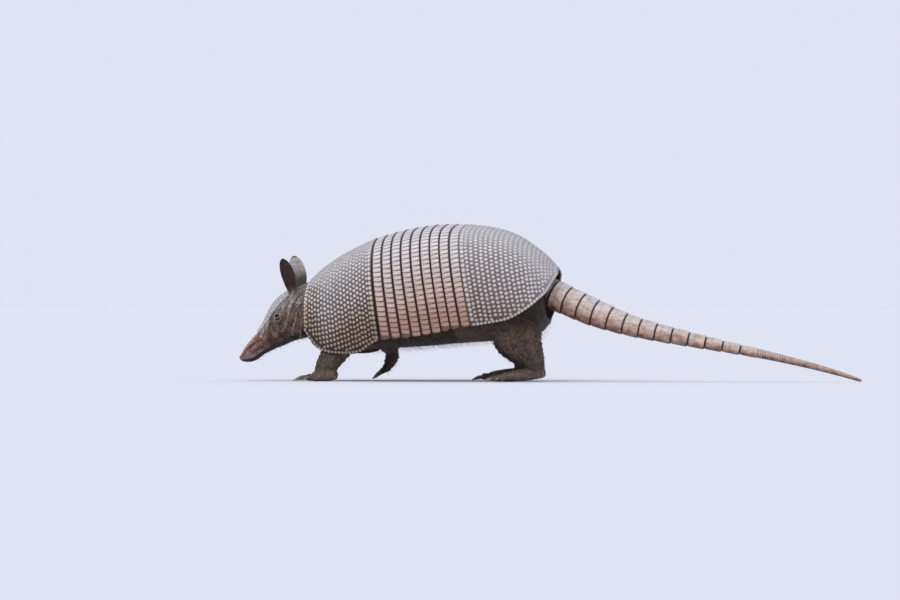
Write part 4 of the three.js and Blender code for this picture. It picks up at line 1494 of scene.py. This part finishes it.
def eye_tints(made, points):
    """Sockets darkened as painted shade, a pale rim round the lids, a crease below them painted dark as shade
    and a pale fold below that.
    """
    for side in (-1, 1):
        back, up, forward, _ = read_eye(points, side)
        opening = lid_opening(back, up)
        near = forward > 0
        # The socket round each eye is darkened as painted shade.
        socket = np.exp(-((np.hypot(back / 1.3, up) / 7.5) ** 4))
        made = blended(made, tint(88, 68, 58), 0.5 * socket * near)
        rim = (np.hypot(back / 4.3, up / 2.5) - 1) * 2.8
        made = blended(made, tint(206, 182, 168), 0.95 * near * bell(rim, 0.7))
        droop = below_eye(back, up)
        # The crease under the lower lid is painted near black as shade.
        crease = bell(droop + 4.1, 0.85) * smooth_step(5, 3.4, np.abs(back))
        made = blended(made, tint(30, 21, 18), 0.95 * near * crease)
        low_lid = bell(droop + 6.1, 0.7) * smooth_step(6.5, 4.5, np.abs(back))
        made = blended(made, tint(182, 158, 144), 0.75 * near * low_lid)
        made = blended(made, tint(20, 13, 11), near * smooth_step(1.3, 1.1, opening))
    return made


def ear_tints(made, points, out):
    """Ears grey behind, painted dark at the base as shade and pale towards the tips as painted light, with
    dark rims, and hollows painted dark brown as shade.
    """
    cloud = lumps(points, 7, 101)
    for side in EARS:
        height, sideways, _ = read_ear(points, side)
        _, _, _, open_way = ear_axes(side)
        half_width = ear_at(np.clip(height, 0, 1))[:, 0]
        out_to = np.abs(sideways) / half_width
        rim = np.maximum(smooth_step(0.8, 0.95, out_to), smooth_step(0.92, 0.99, height))
        rim = rim * smooth_step(0.3, 0.5, height)
        inner = smooth_step(-0.1, 0.25, out @ open_way) * smooth_step(0.1, 0.25, height)
        # The backs are painted dark at the base as shade and pale towards the tips as painted light.
        shade_to_light_up_ear = smooth_step(0.3, 0.75, height) + 0.2 * cloud
        back_tint = blended(tint(94, 82, 78), tint(200, 193, 194), shade_to_light_up_ear)
        # The hollows are painted dark brown as shade.
        inside_shade_tint = blended(tint(84, 50, 44), tint(46, 34, 34), 0.5 + 0.8 * lumps(points, 5, 103))
        ear = blended(blended(back_tint, inside_shade_tint, inner), tint(38, 31, 32), rim)
        made = blended(made, ear, smooth_step(0.02, 0.16, height))
    return made


def head_tints(points, out):
    """The head's colours: brown cheeks, rosy snout, pale crests of the folds; the jaw and underside, the
    furrows, the mouth line, the snout's groove and the nostrils are painted dark as shade.
    """
    station, down, crest, furrow, mouth, lips, groove = head_lines(points)
    cloud = lumps(points, 7, 101)
    made = blended(tint(148, 120, 103), tint(84, 63, 50), 0.5 + 1.3 * cloud)
    crown = smooth_step(86, 58, down + 8 * lumps(points, 4, 106)) * smooth_step(58, 76, station)
    made = blended(made, tint(172, 164, 162), 0.8 * crown)
    beside = band_of(down, 40, 60, 5) * band_of(station, 26, 58, 6) * (0.7 + 0.5 * lumps(points, 3, 107))
    made = blended(made, tint(206, 194, 188), beside)
    made = blended(made, tint(132, 122, 118), smooth_step(98, 112, station) * smooth_step(105, 70, down))
    made = blended(made, tint(150, 106, 100), smooth_step(46, 30, station))
    made = blended(made, tint(168, 120, 126), smooth_step(20, 6, station) * 0.8)
    bridge = smooth_step(52, 34, down) * smooth_step(40, 30, station) * (0.55 + 0.5 * lumps(points, 3, 102))
    made = blended(made, tint(214, 190, 190), bridge)
    flecks = smooth_step(0.25, 0.6, lumps(points, 1.9, 108))
    flecks *= band_of(station, 12, 40, 5) * band_of(down, 30, 72, 8)
    made = blended(made, tint(232, 212, 204), 0.85 * flecks)
    stripe = band_of(down, 74, 92, 7) * band_of(station, 10, 44, 6)
    made = blended(made, tint(190, 146, 134), 0.5 * stripe)
    shade = band_of(down, 98, 116, 8) * band_of(station, 16, 42, 6)
    made = blended(made, tint(84, 56, 52), 0.55 * shade)
    lip = bell(mouth + 3.2, 1.1) * band_of(station, 8, 26, 5)
    made = blended(made, tint(206, 172, 172), 0.6 * lip)
    # The jaw and the underside of the head and neck are painted near black as shade.
    jaw_shade = smooth_step(-0.4, 0.9, mouth) * smooth_step(62, 46, station)
    jaw_shade = np.maximum(jaw_shade, smooth_step(128, 146, down) * (1 - smooth_step(100, 120, station)))
    made = blended(made, tint(48, 40, 38), jaw_shade * 0.92)
    made = blended(made, tint(204, 176, 162), 0.85 * crest)
    # The furrow beside each fold's crest is painted dark as shade in the crease.
    made = blended(made, tint(44, 33, 28), 0.85 * furrow)
    # The mouth line, the snout's groove and the nostrils are painted near black as shade in their recesses.
    made = blended(made, tint(34, 20, 20), np.maximum(lips, groove * 1.6))
    made = blended(made, tint(26, 16, 16), 1.1 * bell(nostril(points), 1.3))
    return ear_tints(eye_tints(made, points), points, out)


def body_tints(points):
    """The body's colours: a dark belly, painted darker still as shade under the body, dark legs, greyer
    knees and feet, and a pale root to the tail.
    """
    cloud = lumps(points, 9, 104)
    # The belly is dark brown skin painted darker still as shade under the body.
    made = blended(tint(62, 45, 34), tint(38, 27, 20), 0.5 + 0.8 * cloud)
    made = blended(made, tint(112, 91, 78), leg_share(points) * (0.65 + 0.3 * lumps(points, 6, 105)))
    made = blended(made, tint(134, 116, 104), smooth_step(16, 7, points[:, 2]) * 0.8)
    behind = smooth_step(-14, -4, points[:, 0]) * smooth_step(78, 88, points[:, 2])
    off_axis = np.linalg.norm(points[:, 1:] - tail_at(points[:, 0])[:, 1::-1], axis=1)
    behind = behind * smooth_step(22, 20.5, off_axis)
    upward = smooth_step(-12, 8, points[:, 2] - tail_at(points[:, 0])[:, 0])
    return blended(made, blended(tint(110, 82, 72), tint(186, 168, 160), upward), behind)


def skin_tints(points, out):
    share = smooth_step(-282, -272, points[:, 0])
    return blended(head_tints(points, out), body_tints(points), share)


def set_tint(piece, tints):
    layer = piece.data.attributes.get("tint") or piece.data.attributes.new("tint", "FLOAT_COLOR", "POINT")
    opaque = np.concatenate([tints, np.ones((len(tints), 1))], 1)
    layer.data.foreach_set("color", opaque.astype(np.float32).ravel())


set_tint(skin, skin_tints(corners_of(skin) / MM, normals_of(skin)))
smooth_faces(skin, 70)
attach(skin, "root")
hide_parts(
    "head", "neck", "trunk", "tail_root", "ear_left", "ear_right",
    "leg_front_left", "leg_front_right", "leg_hind_left", "leg_hind_right",
)

leather, tree, shader = new_material("leather", 0.6, colour(100, 82, 72), 0.35)
tinted = attribute(tree, "tint", "Color")
mottle, pits = grain(tree, 1500)
pebble = ramp(tree, cell_edges(tree, 620.0), [(0.0, 0.0), (0.22, 1.0)], smooth=True)
creases = noise(tree, own_place(tree), 240.0, 5.0, 0.65)
base = dimmed(tree, 0.5, tinted, pebble, [(0.0, 0.45), (1.0, 1.0)])
base = dimmed(tree, 0.7, base, creases, [(0.34, 0.42), (0.6, 1.2)])
base = dimmed(tree, 0.4, base, mottle, [(0.35, 0.6), (0.65, 1.15)])
relief = plus_share(tree, maths(tree, "MULTIPLY", pebble, 0.7), creases, 0.8)
feed(tree, shader, base, plus_share(tree, 0.46, pits, 0.3), relief, 0.6, 0.0005)
skin.data.materials.append(leather)

# ---------------------------------------------------------------- eyes
# Small dark eyes, glossy and set deep behind the lids. Each is a ball that bulges a little in front.
eye_gloss, tree, shader = new_material("eye_gloss", 0.12, colour(16, 11, 9), 0.25)
iris = ramp(tree, attribute(tree, "gaze"), [
    (0.55, colour(40, 28, 22)), (0.72, colour(30, 19, 13)), (0.84, colour(22, 13, 9)),
    (0.88, colour(5, 4, 4)),
])
feed(tree, shader, dimmed(tree, 0.4, iris, noise(tree, own_place(tree), 1800.0), [(0.3, 0.5), (0.7, 1.0)]))
for side, name in ((-1, "left"), (1, "right")):
    centre, out, _, _ = eye_axes(side)
    bpy.ops.object.select_all(action="DESELECT")
    bpy.ops.mesh.primitive_uv_sphere_add(
        segments=40, ring_count=24, radius=(EYE_RADIUS - 0.15) * MM, location=centre * MM,
        rotation=Vector(out).to_track_quat("Z", "Y").to_euler(),
    )
    eye = bpy.context.object
    eye.name = eye.data.name = f"{name}_eye"
    bpy.ops.object.transform_apply(location=True, rotation=True, scale=True)
    points = corners_of(eye) / MM
    ways = unit(points - centre)
    bulge = 0.2 * smooth_step(0.72, 0.95, ways @ out)
    move_corners(eye, (points + ways * bulge[:, None]) * MM)
    set_values(eye, gaze=ways @ out)
    smooth_faces(eye)
    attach(eye, "root")
    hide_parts(f"eye_{name}")
    eye.data.materials.append(eye_gloss)

# ---------------------------------------------------------------- claws
# Each toe ends in a blunt curved claw of horn, longest on the two middle toes of the forefeet. They grow
# from sockets in the toes and are worn pale at the points.
CLAW_ROOT = 2.5
CLAW_REST = 0.45


def make_claw(name, leg, number, toe):
    inward, reach, length = toe
    root = along_foot(leg["ball"], leg["toe_pitch"], reach - CLAW_ROOT)
    thick = 1.1 + length * 0.11
    whole = length + CLAW_ROOT
    rows = []
    stages = (0, 0, thick), (0.45, -8, thick * 0.85), (0.8, -2, thick * 0.5), (1, 0, 0.7)
    for share, pitch, radius in stages:
        forward, up = along_foot(root, leg["claw_pitch"] + pitch, share * whole)
        rows.append([*on_foot(leg, forward, inward, max(up, CLAW_REST)), radius, radius * 0.8])
    claw = limb(f"{name}_claw_{number}", rows, 28, 36, round_end=0.06)
    points = corners_of(claw)
    points[:, 2] = np.maximum(points[:, 2], 0)
    move_corners(claw, points)
    heel = np.array(on_foot(leg, root[0], inward, root[1])) * MM
    set_values(claw, out_along=np.linalg.norm(points - heel, axis=1) / (whole * MM))
    smooth_faces(claw)
    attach(claw, "root")
    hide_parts(f"claw_{name}_{number}")
    return claw


claw_horn, tree, shader = new_material("claw_horn", 0.4, colour(110, 97, 83))
worn = attribute(tree, "out_along")
mottle, pits = grain(tree, 2200)
lengthwise = noise(tree, stretched(tree, 120.0, 1500.0, 1500.0), 1.0, 3.0)
base = ramp(tree, plus_share(tree, worn, maths(tree, "SUBTRACT", mottle, 0.5), 0.5), [
    (0.1, colour(70, 58, 50)), (0.45, colour(112, 98, 84)), (0.75, colour(150, 136, 118)),
    (0.97, colour(188, 176, 156)),
])
base = dimmed(tree, 0.5, base, lengthwise, [(0.35, 0.5), (0.6, 1.0)])
feed(tree, shader, base, plus_share(tree, 0.26, pits, 0.3), lengthwise, 0.5, 0.0003)
for name, leg in LEGS.items():
    for number, toe in enumerate(leg["toes"], 1):
        make_claw(name, leg, number, toe).data.materials.append(claw_horn)

# ---------------------------------------------------------------- scales of the head and limbs
# Small horny scales stud the cheeks, the bridge of the snout and the outer sides of the legs and feet.
# Each is a low plate set in the skin, its free edge towards the toes or the nose, tinted as the skin is.
def scale_pattern():
    """A low plate with six sides; along +Y is the way it points."""
    bpy.ops.object.select_all(action="DESELECT")
    bpy.ops.mesh.primitive_circle_add(vertices=6, radius=0.5, fill_type="NGON", location=(0, 0, -0.5))
    edit_all()
    for rise, scale in ((1.0, 0.94), (0.35, 0.72)):
        raise_faces(rise, scale)
    bpy.ops.mesh.poke()
    end_edit()
    return bpy.context.object


scale = take_pattern(scale_pattern())


PATCH = 0.0028
SHEET = 0.46
SHEET_EDGE = 0.02
NECK_SEAM = -278


def chart(points):
    """Each point's place on the skin laid flat. The head and the trunk have a sheet each in the lower half,
    and the legs one each above them."""
    station, angle = read_head(points)
    x, y, z = points.T
    on_head = x < NECK_SEAM
    turn = np.arctan2(z - 95, y) / (2 * math.pi) + 0.5
    u = np.where(on_head, SHEET_EDGE + SHEET * (angle / 360 + 0.5), 0.5 + SHEET_EDGE + SHEET * turn)
    v = SHEET_EDGE + SHEET * np.where(on_head, station / NECK_END, (x - NECK_SEAM) / 300)
    on_leg = (leg_share(points) > 0.3) & ~on_head
    for k, leg in enumerate(LEGS.values()):
        middle = np.array([row[:3] for row in leg["upper"]])
        near = on_leg & (np.sign(y) == leg["side"]) & (np.abs(x - leg["x"]) < 62)
        across = np.interp(z, middle[::-1, 2], middle[::-1, 0])
        round_leg = np.arctan2(y - leg["y"], x - across) / (2 * math.pi) + 0.5
        u = np.where(near, SHEET_EDGE + 0.24 * k + 0.22 * round_leg, u)
        v = np.where(near, 0.5 + SHEET_EDGE + 0.44 * z / 100, v)
    return u, v


def patch_map(piece, roots, local):
    """Lays each scale or hair on the map as a small patch at its root's place."""
    u, v = chart(roots)
    spread = PATCH * (local - 0.5)
    map_by(piece, (u[:, None] + spread[None, :, 0]).ravel(), (v[:, None] + spread[None, :, 1]).ravel())


def spaced(candidates, gaps, rng):
    """Picks candidates at random so that no two stand closer than their gaps."""
    order = rng.permutation(len(candidates))
    cells, kept = {}, []
    widest = gaps.max()
    for i in order:
        here = candidates[i]
        cell = tuple((here // widest).astype(int))
        close = False
        for step in np.ndindex(3, 3, 3):
            for other in cells.get((cell[0] + step[0] - 1, cell[1] + step[1] - 1, cell[2] + step[2] - 1), ()):
                away = candidates[other] - here
                if away @ away < gaps[i] ** 2:
                    close = True
                    break
            if close:
                break
        if not close:
            cells.setdefault(cell, []).append(i)
            kept.append(i)
    return np.array(kept)


skin_points, skin_out = corners_of(skin) / MM, normals_of(skin)
x, y, z = skin_points.T


def same_way(points, back, up):
    """One direction in the animal's middle plane, for every point."""
    return np.broadcast_to(np.array([back, 0, up]), points.shape)


def lay_scales(name, chosen, gap, lie, rise, seed, paler):
    """Scales over the chosen corners of the skin; gap is their spacing and lie the way they point."""
    rng = np.random.default_rng(seed)
    at, out = skin_points[chosen], skin_out[chosen]
    kept = spaced(at, gap[chosen], rng)
    at, out, size, way, paler = at[kept], out[kept], gap[chosen][kept], lie[chosen][kept], paler[chosen][kept]
    way = unit(way - np.sum(way * out, 1)[:, None] * out)
    leaning = unit(way - 0.06 * out)
    side = np.cross(leaning, out)
    axes = [unit(side), leaning, unit(np.cross(side, leaning))]
    grown = rng.uniform(0.9, 1.12, len(at))
    sizes = np.stack([size * grown, size * 1.14 * grown, np.full(len(at), rise)], -1)
    piece = copies(name, scale, at, axes, sizes, {})
    tints = skin_tints(at, out)
    tones = rng.uniform(0.5, 1.5, len(at))[:, None] * paler[:, None]
    heights = smooth_step(0.2, 0.85, scale[0][:, 2])
    tints = (tints * tones)[:, None] * (0.4 + 0.6 * heights)[None, :, None]
    set_tint(piece, np.clip(tints, 0, 1).reshape(-1, 3))
    patch_map(piece, at, scale[0][:, :2] + 0.5)
    smooth_faces(piece, 40)
    piece.data.materials.append(leather)
    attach(piece, "root")
    return piece


station, angle = read_head(skin_points)
down = np.abs(angle)
clear = (x < NECK_SEAM + 2) & (station < 138)
for side in EARS:
    clear &= read_ear(skin_points, side)[0] < 0.02
for side in (-1, 1):
    back, up, forward, _ = read_eye(skin_points, side)
    clear &= ~((forward > 0) & (np.hypot(back / 1.2, up + 1.5) < 6.6))
_, _, crest, furrow, mouth, lips, groove = head_lines(skin_points)
clear &= (lips < 0.2) & (furrow < 0.35) & (crest < 0.55) & (groove < 0.3) & (nostril(skin_points) > 3)
edge_of_shield = np.where((station > SHIELD_FRONT) & (station < SHIELD_REAR), shield_reach(station) - 2, -1)
clear &= (down > edge_of_shield) & (station > 7) & (down < 150)
toward_nose = same_way(skin_points, -0.62, -0.78)
head_gap = np.interp(station, [7, 30, 60, 100, 110], [1.3, 2.0, 2.9, 3.2, 3.8])
head_gap = np.where((down < 62) & (station < 62), np.minimum(head_gap, 2.3), head_gap)
paler = np.interp(station, [40, 62, 100, 112], [1.2, 1.3, 1.35, 1.7]) * np.where(down > 112, 0.75, 1.0)
lay_scales("head_scales", clear, head_gap, toward_nose, 0.4, 110, paler)

legs = leg_share(skin_points)
behind_head = x > NECK_SEAM
on_legs = behind_head & (legs > 0.35) & (z > 1.6)
foot_top = z < 18
limb_gap = np.where(foot_top, 2.5, 3.6)
toward_floor = same_way(skin_points, -0.35, -0.94)
toward_toes = same_way(skin_points, -1.0, -0.25)
lie = np.where(foot_top[:, None], toward_toes, toward_floor)
outer = np.full(len(skin_points), 1.35)
lay_scales("leg_scales", on_legs & (skin_out[:, 2] > -0.75), limb_gap, lie, 0.4, 111, outer)

# ---------------------------------------------------------------- hairs
# Stiff sparse hairs hang from the belly, the chin and throat and the backs of the legs, and a few stand
# out from under the shell's margins. Each is a tapering bristle rooted in the skin.
def bristle_pattern():
    """A bristle one unit long along +Z, tapering to its point and curving towards +X."""
    bpy.ops.object.select_all(action="DESELECT")
    bpy.ops.mesh.primitive_cone_add(vertices=3, radius1=0.5, radius2=0.42, depth=0.25, location=(0, 0, 0.125))
    bpy.ops.object.mode_set(mode="EDIT")
    bpy.ops.mesh.select_all(action="DESELECT")
    bpy.ops.object.mode_set(mode="OBJECT")
    piece = bpy.context.object
    for face in piece.data.polygons:
        face.select = face.normal.z > 0.9
    bpy.ops.object.mode_set(mode="EDIT")
    bpy.ops.mesh.select_mode(type="FACE")
    for drift, scale in ((0.03, 0.85), (0.08, 0.7), (0.14, 0.12)):
        raise_faces(0.25, scale, drift=drift)
    end_edit()
    return piece


bristle = take_pattern(bristle_pattern())


bristle_horn, tree, shader = new_material("bristle", 0.45, colour(186, 170, 150), 0.4)
_, pits = grain(tree, 900)
banded = dimmed(tree, 0.35, attribute(tree, "tint", "Color"), pits, [(0.35, 0.55), (0.65, 1.0)])
feed(tree, shader, banded, plus_share(tree, 0.36, pits, 0.2))


def grow_hairs(name, chosen, gap, seed, lie, lengths, thick, pale_share, pale, dark):
    """Sparse bristles rooted in the chosen parts of the skin, some pale and some dark; each leaves the skin
    between its normal and the way the coat lies."""
    rng = np.random.default_rng(seed)
    at = skin_points[chosen]
    kept = spaced(at, np.full(len(at), gap), rng)
    out = skin_out[chosen][kept]
    roots = at[kept] - 0.3 * out
    lie = same_way(roots, *lie)
    is_pale = rng.random(len(roots))[:, None] < pale_share
    lengths = rng.uniform(*lengths, len(roots))
    way = unit(0.55 * out + lie + rng.normal(0, 0.16, out.shape))
    bend = unit(lie - np.sum(lie * way, 1)[:, None] * way + 1e-4)
    corners = bristle[0]
    size = np.stack([np.full(len(roots), thick)] * 2 + [lengths], -1)
    piece = copies(name, bristle, roots, [bend, np.cross(way, bend), way], size, {})
    points = corners_of(piece) / MM
    drift = 0.15 * corners[:, 2] ** 2
    points += (drift[None, :, None] * lengths[:, None, None] * bend[:, None]).reshape(-1, 3)
    points[:, 2] = np.maximum(points[:, 2], 0.1)
    move_corners(piece, points * MM)
    shade = rng.uniform(0.7, 1.15, len(roots))[:, None, None]
    tints = np.broadcast_to(np.where(is_pale, pale, dark)[:, None] * shade, (len(roots), len(corners), 3))
    set_tint(piece, np.clip(tints, 0, 1).reshape(-1, 3))
    patch_map(piece, roots, corners[:, [0, 2]] + [0.5, 0])
    piece.data.materials.append(bristle_horn)
    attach(piece, "root")


under_chin = (x < NECK_SEAM + 2) & (down > 118) & (station > 14) & (station < 140)
grow_hairs("throat_hairs", under_chin, 3.6, 120, lie=(0.75, -0.45), lengths=(3, 6.5), thick=0.3,
           pale_share=0.35, pale=tint(176, 162, 146), dark=tint(58, 46, 40))

belly = (x > -262) & (x < -4) & (z < 104) & (skin_out[:, 2] < 0.2) & (legs < 0.3)
belly &= (z < shell_at(x)[:, 1] + 2) | (x > -20)
grow_hairs("belly_hairs", belly, 4.3, 121, lie=(0.8, -0.5), lengths=(6, 12), thick=0.26,
           pale_share=0.4, pale=tint(170, 156, 140), dark=tint(86, 70, 60))

shanks = behind_head & (legs > 0.4) & (z > 9)
grow_hairs("leg_hairs", shanks, 4.4, 122, lie=(0.3, -1.0), lengths=(4, 8), thick=0.22,
           pale_share=0.35, pale=tint(160, 146, 132), dark=tint(74, 60, 52))

# ---------------------------------------------------------------- floor, light and camera
# A plain pale floor under soft studio light, seen level from a little behind the left flank.
bpy.ops.object.select_all(action="DESELECT")
bpy.ops.mesh.primitive_circle_add(vertices=64, radius=60, fill_type="NGON", location=(0, 0, 0))
floor = bpy.context.object
floor.name = floor.data.name = "floor"
floor_paint, tree, shader = new_material("floor_paint", 1.0, colour(226, 228, 236), 0.0)
shader.inputs["Base Color"].default_value = colour(226, 228, 236)
floor.data.materials.append(floor_paint)

# The studio's walls are bright to the eye and dim as lamps, its ceiling is one wide soft lamp.
world = bpy.data.worlds.new("studio")
bpy.context.scene.world = world
world.use_nodes = True
tree = world.node_tree
height = node(
    tree, "ShaderNodeSeparateXYZ", {"Vector": node(tree, "ShaderNodeTexCoord").outputs["Generated"]}
).outputs["Z"]
lamp_light = ramp(tree, height, [(0.0, [0.3, 0.3, 0.32, 1]), (0.9, [0.8, 0.82, 0.9, 1])], smooth=True)
seen = node(tree, "ShaderNodeLightPath").outputs["Is Camera Ray"]
tree.links.new(mixed(tree, seen, lamp_light, colour(224, 227, 241)), tree.nodes["Background"].inputs["Color"])

sun = bpy.data.lights.new("ceiling_light", "SUN")
sun.energy = 1.05
sun.angle = math.radians(70)
sun.color = (1.0, 0.98, 0.96)
ceiling_light = bpy.data.objects.new("ceiling_light", sun)
bpy.context.scene.collection.objects.link(ceiling_light)
ceiling_light.rotation_euler = Vector((0.15, 0.4, -1)).to_track_quat("-Z", "Y").to_euler()

camera_data = bpy.data.cameras.new("camera")
camera = bpy.data.objects.new("camera", camera_data)
bpy.context.scene.collection.objects.link(camera)
VIEW_DISTANCE = 6.0
VIEW_WIDTH = 1.08
view_turn = math.radians(10)
target = Vector((-0.1182, 0.0, 0.0972))
camera.location = target + VIEW_DISTANCE * Vector((math.sin(view_turn), -math.cos(view_turn), 0))
camera.rotation_euler = (target - camera.location).to_track_quat("-Z", "Y").to_euler()
camera_data.sensor_width = 36
camera_data.lens = camera_data.sensor_width * VIEW_DISTANCE / VIEW_WIDTH
camera_data.clip_end = 200
bpy.context.scene.camera = camera
bpy.context.scene.view_settings.view_transform = "Standard"
